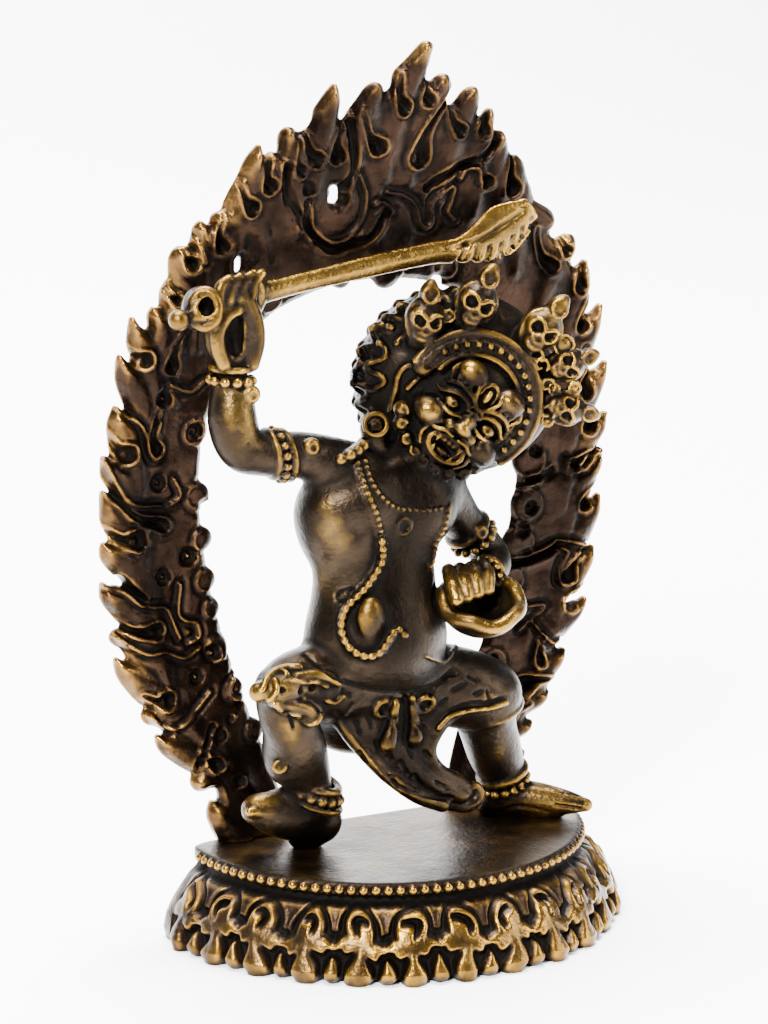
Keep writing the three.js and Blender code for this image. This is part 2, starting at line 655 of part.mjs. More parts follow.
function skirt() {
  const drops = [[-5.5, -5.0], [-0.7, -1.9]].flatMap(([x, end]) => [
    hoop([x, 0.5, 26.0], [0, -1, 0.1], 1.0, 1.0, 0.45, 6),
    limb([[x + 0.5, 0.5, 25.2, 0.4], [end, 0.4, 22.6, 0.85]], 4),
  ]);
  return [
    flap(), limb(FLAP_CURL, 4), ...drops,
    hoop([-4.4, 4.2, 29.4], [0.12, -0.25, 1], 8.0, 5.6, 0.7, 10),
    limb([[-9.5, 3.0, 30.0, 3.0, 3.6], [-14.6, 1.6, 30.2, 2.7, 3.0], [-17.2, 1.0, 29.6, 2.2, 2.4]], 7),
    limb([[2.0, 4.6, 27.4, 3.6, 3.8], [7.2, 4.4, 25.6, 3.9, 3.8], [9.3, 4.6, 24.6, 3.9, 3.8]], 8, 0.2),
  ];
}

// The tiger's head on the bent knee.
function tigerMask() {
  return [
    ball([-17.4, 0.2, 29.2], [2.5, 2.1, 1.7], 6, 4),
    ball([-19.6, -0.2, 29.2], [1.1, 1.1, 1.1], 5, 3),
    limb([[-18.0, -0.9, 28.3, 0.8], [-15.6, -1.3, 27.7, 0.8], [-13.8, -1.0, 26.4, 0.9]], 4),
    limb([[-15.2, -0.8, 30.6, 0.6], [-12.2, -0.9, 30.2, 0.8], [-10.6, -0.8, 29.2, 0.6]], 4),
  ];
}

function figure() {
  const whole = fuse([
    ...torso(), ...head(), limb(SWORD_ARM), limb(CUP_ARM), ...legs(), ...swordAndHand(), ...cupAndHand(),
    ...jewellery(), ...skirt(), ...tigerMask(),
  ]);
  const floor = new THREE.BoxGeometry(FLOOR_WIDTH, FLOOR_WIDTH, FLOOR_DEPTH);
  floor.translate(0, 0, BASE_HEIGHT - FLOOR_DEPTH / 2);
  return whole.subtract(solidOf(floor));
}

// Model

const DARK_BRASS = { colour: 0x4b4039, roughness: 0.5 };
const RUBBED_BRASS = { colour: 0x57493b, roughness: 0.42 };

const statue = new THREE.Group();

function addPiece(name, solid, { colour, roughness }) {
  const material = new THREE.MeshStandardMaterial({ color: colour, roughness, metalness: 1 });
  const mesh = new THREE.Mesh(geometryOf(solid), material);
  mesh.name = name;
  statue.add(mesh);
}

addPiece('lotus_base', lotusBase(), DARK_BRASS);
addPiece('figure', figure(), RUBBED_BRASS);
addPiece('flame_aureole', flameAureole(), DARK_BRASS);

export default statue;
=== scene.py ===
"""A small cast brass statue: a striding wrathful deity in front of a flame aureole, on a lotus base."""

import math

import bpy
import numpy as np
from mathutils import Matrix, Vector


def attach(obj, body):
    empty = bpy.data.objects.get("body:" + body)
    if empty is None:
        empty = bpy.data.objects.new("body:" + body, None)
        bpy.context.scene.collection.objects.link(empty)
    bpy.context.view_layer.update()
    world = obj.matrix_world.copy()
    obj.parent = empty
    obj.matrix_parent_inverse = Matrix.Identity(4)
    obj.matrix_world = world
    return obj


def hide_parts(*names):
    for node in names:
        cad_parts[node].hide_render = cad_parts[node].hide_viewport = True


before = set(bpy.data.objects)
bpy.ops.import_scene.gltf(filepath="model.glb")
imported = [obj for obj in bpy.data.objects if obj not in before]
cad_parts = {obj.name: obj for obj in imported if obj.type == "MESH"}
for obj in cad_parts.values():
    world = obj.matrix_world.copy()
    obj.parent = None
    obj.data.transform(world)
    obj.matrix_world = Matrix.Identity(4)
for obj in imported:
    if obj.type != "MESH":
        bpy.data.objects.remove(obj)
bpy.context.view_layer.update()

# Lengths are millimetres in the part's frame; new_piece turns them into metres.
MM = 0.001
BASE_TOP = 9.65
FULL_TURN = 2 * math.pi
TINY = 1e-12
# What an empty field holds: further than any join reaches.
FAR = 3.0
# How often, and how far, a point of a skin moves towards its neighbours' mean.
RELAX_ROUNDS = 2
RELAX_PULL = 0.5

# The camera of the photograph, in millimetres, and its picture in pixels.
AZIMUTH = math.radians(-27.3)
ELEVATION = math.radians(12.5)
AIM = np.array([0.44, 11.0, 43.8])
DISTANCE = 382.0
FOCAL = 3600.0
WIDTH, HEIGHT = 768, 1024
PIXEL = DISTANCE / FOCAL

BACK = np.array([
    math.sin(AZIMUTH) * math.cos(ELEVATION),
    -math.cos(AZIMUTH) * math.cos(ELEVATION),
    math.sin(ELEVATION),
])
RIGHT = np.array([math.cos(AZIMUTH), math.sin(AZIMUTH), 0.0])
UP = np.cross(BACK, RIGHT)
EYE = AIM + BACK * DISTANCE
# Rays are followed from this y on, in front of the figure, for this far.
SEEN_FROM_Y = -9.0
SEEN_REACH = np.arange(0.0, 26.0, 0.1)


def rays(pixels):
    """Directions from the eye through pixels, one millimetre deep each."""
    p = np.atleast_2d(np.asarray(pixels, float))
    across = (p[:, :1] - WIDTH / 2) / FOCAL
    upward = (HEIGHT / 2 - p[:, 1:2]) / FOCAL
    return across * RIGHT + upward * UP - BACK


def at_y(pixels, y):
    """The points on the pixels' rays at that y."""
    way = rays(pixels)
    reach = (y - EYE[1]) / way[:, 1:2]
    return EYE + reach * way


def with_radius(points, radius):
    """The points with a radius, the same or one each, as their last column."""
    return np.column_stack([points, np.broadcast_to(radius, len(points))])


def spline(points, steps=6):
    """A smooth curve through the points; every column is carried along."""
    p = np.asarray(points, float)
    if len(p) < 3:
        part = np.linspace(0, 1, steps + 1)[:, None]
        return p[0] * (1 - part) + p[-1] * part
    ends = np.vstack([2 * p[0] - p[1], p, 2 * p[-1] - p[-2]])
    out = []
    for a, b, c, d in zip(ends, ends[1:], ends[2:], ends[3:]):
        for t in np.arange(steps) / steps:
            out.append(0.5 * (2 * b + (c - a) * t + (2 * a - 5 * b + 4 * c - d) * t ** 2
                              + (3 * b - a - 3 * c + d) * t ** 3))
    out.append(p[-1])
    return np.array(out)


def evenly(points, pitch):
    """Points a pitch apart along a curve."""
    p = np.asarray(points, float)
    steps = np.linalg.norm(np.diff(p[:, :3], axis=0), axis=1)
    along = np.concatenate([[0], np.cumsum(steps)])
    count = max(2, int(round(along[-1] / pitch)) + 1)
    places = np.linspace(0, along[-1], count)
    return np.stack([np.interp(places, along, column) for column in p.T], axis=1)


def chain(coords, curve):
    """Distance to a chain of round cones; the last column is the radius."""
    best = None
    for a, b in zip(curve[:-1], curve[1:]):
        way = b[:-1] - a[:-1]
        length = max(float(way @ way), TINY)
        t = sum((c - s) * w for c, s, w in zip(coords, a, way)) / length
        t = np.clip(t, 0, 1)
        gap = sum((c - s - t * w) ** 2 for c, s, w in zip(coords, a, way))
        d = np.sqrt(gap) - (a[-1] + (b[-1] - a[-1]) * t)
        best = d if best is None else np.minimum(best, d)
    return best


def soft_min(a, b, blend):
    """The lesser of two distances, rounded where they meet."""
    mix = np.clip(0.5 + 0.5 * (b - a) / blend, 0, 1)
    return b + (a - b) * mix - blend * mix * (1 - mix)


def smoothstep(value, low, high):
    t = np.clip((value - low) / (high - low), 0, 1)
    return t * t * (3 - 2 * t)


# Solid fields

CORNERS = [(dx, dy, dz) for dx in (0, 1) for dy in (0, 1) for dz in (0, 1)]


def sample(values, low, pitch, points):
    """A grid's values at points, with linear weights between the eight corners."""
    q = np.clip((np.asarray(points) - low) / pitch, 0, np.array(values.shape) - 1.001)
    i = q.astype(int)
    f = q - i
    total = 0
    for dx, dy, dz in CORNERS:
        weight = (
            (f[..., 0] if dx else 1 - f[..., 0])
            * (f[..., 1] if dy else 1 - f[..., 1])
            * (f[..., 2] if dz else 1 - f[..., 2])
        )
        total = total + weight * values[i[..., 0] + dx, i[..., 1] + dy, i[..., 2] + dz]
    return total


class Field:
    """Distances on a grid of points, below zero inside the solid."""

    def __init__(self, low, high, pitch):
        self.low = np.array(low, float)
        self.pitch = pitch
        size = [int(math.ceil((h - l) / pitch)) + 1 for l, h in zip(low, high)]
        self.values = np.full(size, FAR, np.float32)

    def block(self, low, high):
        """The grid's cells between two corners, and their coordinates."""
        first = np.floor((np.asarray(low) - self.low) / self.pitch).astype(int)
        last = np.ceil((np.asarray(high) - self.low) / self.pitch).astype(int) + 1
        first, last = (np.clip(ends, 0, self.values.shape) for ends in (first, last))
        cut = tuple(slice(f, l) for f, l in zip(first, last))
        lines = [self.low[i] + self.pitch * np.arange(first[i], last[i]) for i in range(3)]
        return cut, np.ix_(*(line.astype(np.float32) for line in lines))

    def add(self, distance, low, high, blend=0.3, sign=1):
        """Joins a shape to the solid, or cuts it out with sign -1."""
        margin = blend + 3 * self.pitch
        cut, coords = self.block(np.asarray(low) - margin, np.asarray(high) + margin)
        if min(self.values[cut].shape) > 0:
            self.values[cut] = sign * soft_min(sign * self.values[cut], distance(coords), blend)

    def stroke(self, curve, blend, sign=1):
        """A chain of round cones; the last column is the radius."""
        low = (curve[:, :3] - curve[:, 3:]).min(0)
        high = (curve[:, :3] + curve[:, 3:]).max(0)
        self.add(lambda c: chain(c, curve), low, high, blend, sign)

    def tube(self, points, blend, sign=1, steps=6):
        self.stroke(spline(points, steps), blend, sign)

    def ball(self, centre, radii, blend, sign=1, basis=None):
        """An ellipsoid, along the axes or along the columns of a basis."""
        radii = np.broadcast_to(np.asarray(radii, float), (3,))
        span = radii if basis is None else radii.max()
        basis = np.eye(3) if basis is None else basis

        def distance(c):
            local = [sum((c[k] - centre[k]) * basis[k, i] for k in range(3)) for i in range(3)]
            size = np.sqrt(sum((q / r) ** 2 for q, r in zip(local, radii)))
            return (size - 1) * float(radii.min())

        self.add(distance, np.asarray(centre) - span, np.asarray(centre) + span, blend, sign)

    def sample(self, points):
        return sample(self.values, self.low, self.pitch, points)

    def normal(self, points):
        step = 2 * self.pitch
        slope = np.stack([
            self.sample(points + step * axis) - self.sample(points - step * axis) for axis in np.eye(3)
        ], axis=-1)
        return slope / np.maximum(np.linalg.norm(slope, axis=-1, keepdims=True), TINY)

    def seen(self, pixels, lift=0.0):
        """Points of the solid seen at the photograph's pixels, lifted off along the normal."""
        way = rays(pixels)
        start = at_y(pixels, SEEN_FROM_Y)
        inside = self.sample(start[:, None, :] + way[:, None, :] * SEEN_REACH[None, :, None]) < 0
        reach = SEEN_REACH[inside.argmax(axis=1)][:, None]
        hits = (start + way * reach)[inside.any(axis=1)]
        return hits + self.normal(hits) * lift

    def seen_spots(self, pixel, lift=0.0):
        """The one place seen at a pixel with its normal, or nothing beside the solid."""
        hits = self.seen([pixel], lift)
        return zip(hits, self.normal(hits))


def surface_nets(values, low, pitch):
    """One closed skin of quads on the zero level of a grid."""
    inside = values < 0
    size = np.array(values.shape) - 1
    total = np.zeros(size, np.uint8)
    for dx, dy, dz in CORNERS:
        total += inside[dx:dx + size[0], dy:dy + size[1], dz:dz + size[2]]
    active = (total > 0) & (total < len(CORNERS))
    cells = np.argwhere(active)
    heights = [values[tuple((cells + corner).T)].astype(np.float64) for corner in CORNERS]
    place = np.zeros((len(cells), 3))
    count = np.zeros((len(cells), 1))
    for a, start in enumerate(np.array(CORNERS)):
        for b, end in enumerate(np.array(CORNERS)):
            if b < a or np.abs(end - start).sum() != 1:
                continue
            crosses = (heights[a] < 0) != (heights[b] < 0)
            gap = heights[a] - heights[b]
            part = np.where(crosses, heights[a] / np.where(gap == 0, 1, gap), 0)[:, None]
            place += crosses[:, None] * (start + part * (end - start))
            count += crosses[:, None]
    vertices = low + (cells + place / np.maximum(count, 1)) * pitch
    ids = np.full(active.shape, -1, np.int32)
    ids[active] = np.arange(len(cells), dtype=np.int32)
    quads = []
    for axis in range(3):
        u, v = (axis + 1) % 3, (axis + 2) % 3
        near, away = [slice(1, -1)] * 3, [slice(1, -1)] * 3
        near[axis] = slice(0, -1)
        away[axis] = slice(1, None)
        first, second = inside[tuple(near)], inside[tuple(away)]
        for flip, edge in ((False, first & ~second), (True, ~first & second)):
            spots = np.argwhere(edge)
            spots[:, [u, v]] += 1
            ring = []
            for du, dv in ((1, 1), (0, 1), (0, 0), (1, 0)):
                cell = spots.copy()
                cell[:, u] -= du
                cell[:, v] -= dv
                ring.append(ids[tuple(cell.T)])
            quad = np.stack(ring, axis=1)
            quads.append(quad[:, ::-1] if flip else quad)
    return vertices, np.vstack(quads)


def relax(vertices, quads):
    """Evens out the grid's small steps by moving each point towards its neighbours' mean."""
    pairs = np.vstack([quads[:, [i, (i + 1) % 4]] for i in range(4)])
    count = np.bincount(pairs.ravel(), minlength=len(vertices))[:, None]
    for _ in range(RELAX_ROUNDS):
        total = np.stack([
            np.bincount(pairs[:, 0], column[pairs[:, 1]], len(vertices))
            + np.bincount(pairs[:, 1], column[pairs[:, 0]], len(vertices)) for column in vertices.T
        ], axis=1)
        vertices = vertices + RELAX_PULL * (total / np.maximum(count, 1) - vertices)
    return vertices


def main_body(vertices, quads):
    """Only the skin's largest connected part."""
    label = np.arange(len(vertices))
    while True:
        lowest = label[quads].min(axis=1)
        before = label.copy()
        for side in range(quads.shape[1]):
            np.minimum.at(label, quads[:, side], lowest)
        label = label[label]
        if (label == before).all():
            break
    keep = label == np.bincount(label).argmax()
    renumber = np.cumsum(keep) - 1
    return vertices[keep], renumber[quads[keep[quads[:, 0]]]]


def skin(field):
    """The solid's evened-out surface."""
    vertices, quads = surface_nets(field.values, field.low, field.pitch)
    return main_body(relax(vertices, quads), quads)


def box_blur(values, reach, rounds=1):
    """A running mean over 2 * reach + 1 points along each axis."""
    window = 2 * reach + 1
    out = values.astype(np.float32)
    for axis in list(range(values.ndim)) * rounds:
        pad = [(0, 0)] * values.ndim
        pad[axis] = (reach + 1, reach)
        run = np.cumsum(np.pad(out, pad, mode="edge"), axis=axis, dtype=np.float64)
        size = out.shape[axis]
        high = np.take(run, range(window, window + size), axis=axis)
        low = np.take(run, range(0, size), axis=axis)
        out = ((high - low) / window).astype(np.float32)
    return out


def new_piece(name, vertices, faces, limit):
    """A mesh object in metres with at most limit triangles."""
    mesh = bpy.data.meshes.new(name)
    count, sides = faces.shape
    mesh.vertices.add(len(vertices))
    mesh.vertices.foreach_set("co", (vertices * MM).ravel())
    mesh.loops.add(faces.size)
    mesh.loops.foreach_set("vertex_index", faces.ravel().astype(np.int32))
    mesh.polygons.add(count)
    mesh.polygons.foreach_set("loop_start", np.arange(0, faces.size, sides, dtype=np.int32))
    mesh.polygons.foreach_set("loop_total", np.full(count, sides, np.int32))
    mesh.update(calc_edges=True)
    mesh.validate()
    piece = bpy.data.objects.new(name, mesh)
    bpy.context.scene.collection.objects.link(piece)
    triangles = count * (sides - 2)
    if triangles > limit:
        fewer = piece.modifiers.new("fewer", "DECIMATE")
        fewer.ratio = limit / triangles
        fewer.use_collapse_triangulate = True
        shaped = piece.evaluated_get(bpy.context.evaluated_depsgraph_get())
        piece.data = bpy.data.meshes.new_from_object(shaped)
        piece.modifiers.clear()
        bpy.data.meshes.remove(mesh)
        piece.data.name = name
    piece.data.polygons.foreach_set("use_smooth", np.ones(len(piece.data.polygons), bool))
    return piece


def places_of(piece):
    out = np.empty(len(piece.data.vertices) * 3)
    piece.data.vertices.foreach_get("co", out)
    return out.reshape(-1, 3) / MM


def set_attribute(piece, name, values):
    layer = piece.data.attributes.new(name, "FLOAT", "POINT")
    layer.data.foreach_set("value", np.asarray(values, np.float32))


def mark_hollows(piece, field, places, reaches):
    """Keeps how much solid lies within each reach: 0.5 on a flat face, more in a hollow."""
    solid = np.clip(0.5 - field.values / field.pitch, 0, 1).astype(np.float32)
    for name, reach in zip(("fine", "middle", "broad"), reaches):
        cells = max(1, int(round(reach / field.pitch / 2)))
        set_attribute(piece, name, sample(box_blur(solid, cells, 2), field.low, field.pitch, places))


# Flame aureole: a relief painted on the flattened plate, then bent

AUREOLE_X = -0.7
AUREOLE_FOOT_Y = 12.7
AUREOLE_LEAN = 0.146
AUREOLE_BEND = 0.00294
AUREOLE_LOW = (-32.2, -2.4, -0.9)
AUREOLE_HIGH = (31.2, 2.9, 85.9)
AUREOLE_PITCH = 0.16
PLATE_LOW = (-31.6, -0.6)
PLATE_HIGH = (30.6, 85.4)
PLATE_PITCH = 0.15
PLATE_FRONT = 1.0
# The tongues keep inside these x and below this height.
PLATE_REACH = (-30.95, 29.6)
PLATE_TOP = 84.4
# Where the outline starts at the left foot and ends at the right one.
LEFT_FOOT = (-17.2, -0.5)
RIGHT_FOOT = (16.2, -0.5)
TIP_RADIUS = 0.3
BEAD_RADIUS = 0.36
LINE_RADIUS = 0.05
RISE = np.array([0.0, 1.0])


def aureole_y(h):
    return AUREOLE_FOOT_Y + AUREOLE_LEAN * h - AUREOLE_BEND * h * h


def on_aureole(pixels):
    """Places on the aureole's front face seen at pixels, as x and height above the base."""
    way = rays(pixels)
    reach = np.full(len(way), DISTANCE)
    for _ in range(12):
        spot = EYE + reach[:, None] * way
        h = spot[:, 2] - BASE_TOP
        miss = spot[:, 1] - (aureole_y(h) - PLATE_FRONT)
        slope = way[:, 1] - (AUREOLE_LEAN - 2 * AUREOLE_BEND * h) * way[:, 2]
        reach = reach - miss / slope
    spot = EYE + reach[:, None] * way
    return np.stack([spot[:, 0], spot[:, 2] - BASE_TOP], axis=1)


# Tips of the tongues and the notches after them, from the left foot round to the right, in pixels.
LEFT_TIPS = [
    (213, 803), (197, 786), (158, 738), (148, 716), (117, 660), (114, 636), (101, 585), (104, 545),
    (99, 493), (102, 458), (117, 407), (121, 356), (134, 318), (155, 308), (170, 281), (181, 247),
    (203, 221), (221, 220),
]
LEFT_NOTCHES = [
    (219, 790), (198, 764), (163, 730), (152, 702), (125, 652), (124, 626), (123, 577), (117, 537),
    (115, 490), (117, 456), (133, 403), (137, 364), (152, 330), (166, 310), (178, 285), (194, 243),
    (212, 226), (232, 214),
]
CREST_TIPS = [
    (262, 145), (273, 155), (290, 129), (338, 84), (380, 83), (431, 38), (448, 77), (477, 87), (493, 108),
    (499, 134), (518, 155),
]
CREST_NOTCHES = [
    (270, 158), (282, 158), (303, 132), (351, 121), (390, 93), (431, 80), (449, 104), (484, 118), (494, 134),
    (505, 165), (532, 205),
]
RIGHT_TIPS = [
    (553, 222), (574, 236), (588, 260), (604, 304), (609, 361), (609, 412), (604, 448), (602, 494),
    (596, 546), (589, 598), (567, 649), (551, 692), (535, 722), (527, 752), (530, 785),
]
RIGHT_NOTCHES = [
    (556, 237), (575, 263), (587, 303), (592, 360), (595, 414), (591, 452), (590, 489), (588, 543),
    (575, 588), (560, 645), (541, 684), (524, 715), (515, 742), (511, 770), (512, 800),
]
# Fuller tongues of the crest: thick end, then thin end, each with its radius, in pixels.
FAT_TIPS = [
    (412, 78, 18, 430, 50, 8), (328, 112, 12, 336, 94, 5), (380, 100, 8, 381, 90, 4),
    (474, 108, 10, 476, 95, 5),
]
# The inner edge of the plate, as half width and height.
INNER_EDGE = [
    (9.6, -0.5), (10.4, 4.6), (12.4, 10.5), (14.9, 17.5), (17.1, 25), (18.5, 32), (19.1, 39),
    (18.4, 45.7), (16.2, 51.4), (11.8, 56.2), (6, 58.6), (0, 59.3),
]

# Drop-shaped hollows with a raised rim: mouth, middle of the round end, radius in pixels.
DROPS = [
    (402, 84, 403, 108, 9), (431, 83, 428, 100, 8), (447, 106, 419, 157, 13), (453, 110, 459, 131, 8),
    (488, 114, 483, 131, 8), (512, 166, 511, 188, 10), (366, 122, 378, 147, 10), (345, 126, 337, 157, 9),
    (308, 137, 316, 160, 9), (270, 167, 270, 187, 9), (243, 190, 251, 208, 10), (222, 224, 222, 247, 9),
    (184, 250, 192, 264, 9), (166, 288, 176, 300, 7), (127, 345, 144, 360, 10), (181, 340, 171, 366, 9),
    (112, 437, 127, 454, 11), (157, 420, 156, 447, 9), (113, 488, 164, 526, 8), (112, 532, 136, 540, 12),
    (118, 621, 156, 631, 10), (150, 697, 166, 700, 11), (563, 238, 566, 251, 8), (539, 238, 550, 266, 9),
    (585, 264, 580, 287, 9), (586, 306, 581, 325, 9), (594, 368, 584, 391, 10), (601, 415, 588, 425, 10),
    (600, 452, 572, 465, 8), (595, 489, 583, 503, 9), (580, 556, 566, 578, 9), (583, 592, 570, 602, 10),
    (540, 643, 539, 661, 7), (544, 680, 523, 685, 12), (481, 166, 486, 182, 8), (522, 706, 508, 716, 8),
    (205, 755, 216, 764, 9), (300, 150, 300, 172, 7),
]
# Raised lines on the plate.
LINES = [
    [(103, 459), (117, 487), (133, 504), (161, 506)],
    [(102, 586), (124, 591), (141, 605), (167, 609), (177, 631), (181, 639)],
    [(181, 585), (179, 613), (187, 621), (197, 623), (200, 637), (191, 643)],
    [(115, 636), (130, 647), (147, 654), (165, 652), (185, 658), (201, 648)],
    [(149, 716), (163, 727), (179, 727), (195, 712), (211, 692)],
    [(236, 674), (230, 692), (240, 700), (249, 695)],
    [(118, 408), (141, 426), (147, 447), (154, 460), (163, 448), (155, 437), (158, 422)],
    [(504, 560), (529, 556), (555, 542), (571, 541), (587, 545)],
    [(559, 546), (567, 552), (559, 568), (559, 582), (573, 580), (575, 566)],
    [(527, 606), (545, 606), (519, 630)],
    [(533, 622), (549, 641), (561, 641)],
    [(565, 458), (571, 469), (583, 469), (598, 452)],
    [(519, 489), (535, 484), (551, 474), (556, 470)],
    [(389, 193), (404, 196), (417, 207), (420, 223), (427, 228), (433, 221), (433, 200), (454, 186),
     (452, 202), (448, 211), (454, 219)],
    [(375, 207), (383, 202), (394, 211), (390, 215)],
    [(289, 172), (291, 207), (303, 223), (312, 240)],
    [(461, 179), (468, 168), (478, 171), (480, 183)],
    [(163, 240), (190, 236), (200, 250), (205, 262)],
    [(360, 175), (367, 195), (363, 218), (350, 236), (330, 242), (314, 230), (309, 205)],
    [(170, 385), (190, 392), (206, 380)],
    [(175, 480), (181, 495), (172, 505)],
]
# Deep dark grooves.
GROOVES = [
    [(351, 122), (353, 150), (352, 172), (344, 188)],
    [(499, 136), (480, 158), (454, 169), (427, 188)],
    [(286, 166), (288, 190), (292, 207), (307, 228), (322, 243), (333, 250), (350, 245), (372, 236),
     (385, 215)],
    [(120, 580), (131, 590), (141, 599)],
    [(531, 480), (545, 477), (554, 471)],
    [(504, 563), (530, 560), (550, 551), (557, 545)],
    [(199, 764), (206, 744), (212, 728)],
]
# Round dimples, most with a bead: place, radius in pixels, bead.
DIMPLES = [
    (163, 399, 9, 1), (196, 433, 10, 0), (159, 484, 9, 1), (189, 557, 10, 1), (164, 578, 9, 1),
    (213, 654, 10, 1), (197, 678, 8, 1), (220, 737, 9, 0), (341, 201, 11, 0), (274, 232, 4, 1),
    (253, 259, 5, 1), (387, 211, 5, 0), (536, 451, 8, 1), (531, 508, 8, 1), (523, 533, 9, 0),
    (492, 663, 9, 1), (584, 348, 6, 1), (507, 585, 8, 1), (205, 505, 7, 0), (240, 782, 7, 0),
    (308, 190, 8, 0), (230, 720, 6, 0), (240, 706, 6, 0),
]
# Lobes of the inner edge and the holes through the plate.
LOBES = [
    (197, 433, 14), (199, 497, 14), (204, 540, 12), (207, 581, 12), (213, 609, 10), (218, 649, 13),
    (235, 691, 12), (256, 731, 11), (531, 460, 18), (529, 505, 17), (520, 545, 18), (513, 580, 13),
    (493, 663, 16), (480, 690, 10), (390, 275, 15), (448, 268, 11), (270, 300, 13), (236, 330, 13),
    (345, 281, 9),
]
HOLES = [(337, 194, 4, 8), (240, 265, 4, 8), (440, 282, 6, 3)]


class Plate:
    """Heights of a relief, and the distance to its outline, on a flat grid of x and height."""

    def __init__(self, low, high, pitch):
        self.low = np.array(low, float)
        self.pitch = pitch
        size = [int(math.ceil((h - l) / pitch)) + 1 for l, h in zip(low, high)]
        self.x = self.low[0] + pitch * np.arange(size[0])[:, None]
        self.h = self.low[1] + pitch * np.arange(size[1])[None, :]
        self.outline = np.full(size, FAR)
        self.front = np.zeros(size)

    def near(self, curve, margin):
        """The cells near a stroke and their distance to it."""
        margin = curve[:, -1].max() + margin
        low = curve[:, :2].min(0) - margin
        high = curve[:, :2].max(0) + margin
        first = np.clip(((low - self.low) / self.pitch).astype(int), 0, self.front.shape)
        last = np.clip(((high - self.low) / self.pitch).astype(int) + 2, 0, self.front.shape)
        cut = (slice(first[0], last[0]), slice(first[1], last[1]))
        return cut, chain([self.x[cut[0]], self.h[:, cut[1]]], curve)

    def extend(self, curve, blend, sign=1):
        """Adds a stroke to the plate, or cuts it out with sign -1."""
        cut, distance = self.near(curve, FAR)
        self.outline[cut] = sign * soft_min(sign * self.outline[cut], distance, blend)

    def emboss(self, curve, shape, margin=2.0):
        """Changes the height near a stroke by a function of the distance to it."""
        cut, distance = self.near(curve, margin)
        self.front[cut] = shape(distance, self.front[cut])

    def ridge(self, curve, height, away, width):
        """Raises a soft line at some distance away from a stroke, or sinks it."""
        self.emboss(curve, lambda d, h: h + height * np.exp(-((d - away) / width) ** 2))

    def scoop(self, curve, depth, start, end):
        """Sinks what lies inside a stroke, from one depth inside it to another."""
        self.emboss(curve, lambda d, h: h - depth * smoothstep(-d, start, end))

    def outline_at(self, x, h):
        cells = [((v - l) / self.pitch).round().astype(int) for v, l in zip((x, h), self.low)]
        return self.outline[tuple(np.clip(c, 0, n - 1) for c, n in zip(cells, self.outline.shape))]

    def stretched(self, values, x, h):
        """Values of the plate's grid at the crossings of other lines of x and height."""
        x, h = (
            np.clip((v - l) / self.pitch, 0, n - 1.001) for v, l, n in zip((x, h), self.low, values.shape)
        )
        i, j = x.astype(int)[:, None], h.astype(int)[None, :]
        part_x, part_h = x[:, None] - i, h[None, :] - j
        near = values[i, j] * (1 - part_h) + values[i, j + 1] * part_h
        away = values[i + 1, j] * (1 - part_h) + values[i + 1, j + 1] * part_h
        return (near * (1 - part_x) + away * part_x).astype(np.float32)[:, None, :]


def polygon_distance(x, h, corners):
    """Signed distance to a closed outline, below zero inside."""
    gap = np.full(np.broadcast(x, h).shape, 1e9)
    inside = np.zeros(gap.shape, bool)
    for a, b in zip(corners, np.roll(corners, -1, axis=0)):
        way = b - a
        t = np.clip(((x - a[0]) * way[0] + (h - a[1]) * way[1]) / max(float(way @ way), TINY), 0, 1)
        gap = np.minimum(gap, (x - a[0] - t * way[0]) ** 2 + (h - a[1] - t * way[1]) ** 2)
        crosses = (a[1] > h) != (b[1] > h)
        rise = way[1] if abs(way[1]) > TINY else TINY
        inside ^= crosses & (x < a[0] + (h - a[1]) * way[0] / rise)
    return np.where(inside, -np.sqrt(gap), np.sqrt(gap))


def dot(spot, size):
    """A stroke so short that it is a round spot."""
    return with_radius([spot, spot + 0.01], size)


def curl(spot, reach, turn):
    """A thin stroke that turns round a spot."""
    places = np.stack([spot[0] + reach * np.cos(turn), spot[1] + reach * np.sin(turn)], axis=1)
    return with_radius(places, LINE_RADIUS)


def tongue_strokes(tip, last, following, full):
    """One flame tongue between two notches: its stroke and the ridge that runs down from it."""
    width = float(np.linalg.norm(following - last))
    middle = (last + following) / 2
    outward = tip - middle
    length = float(np.linalg.norm(outward))
    outward = outward / length
    root = middle - outward * 2.0
    tongue = spline([
        (*root, min(0.46 * width, 2.2)),
        (*(middle + outward * 0.2 * length - RISE * 0.08 * length), min(0.36 * width, 1.5)),
        (*(middle + outward * 0.65 * length - RISE * 0.13 * length), full * min(0.2 * width, 0.8)),
        (*(tip - outward * TIP_RADIUS), TIP_RADIUS),
    ], 5)
    tongue[:, 0] = np.clip(tongue[:, 0], PLATE_REACH[0] + tongue[:, 2], PLATE_REACH[1] - tongue[:, 2])
    tongue[:, 1] = np.minimum(tongue[:, 1], PLATE_TOP - tongue[:, 2])
    ridge = spline([
        (*tip, 0.3), (*(middle + outward * 0.4 * length - RISE * 0.1 * length), 0.8), (*root, 1.0),
        (*(root - outward * 2.2 - RISE * 1.6), 0.8), (*(root - outward * 3.4 - RISE * 4.2), 0.4),
    ], 5)
    return tongue, ridge


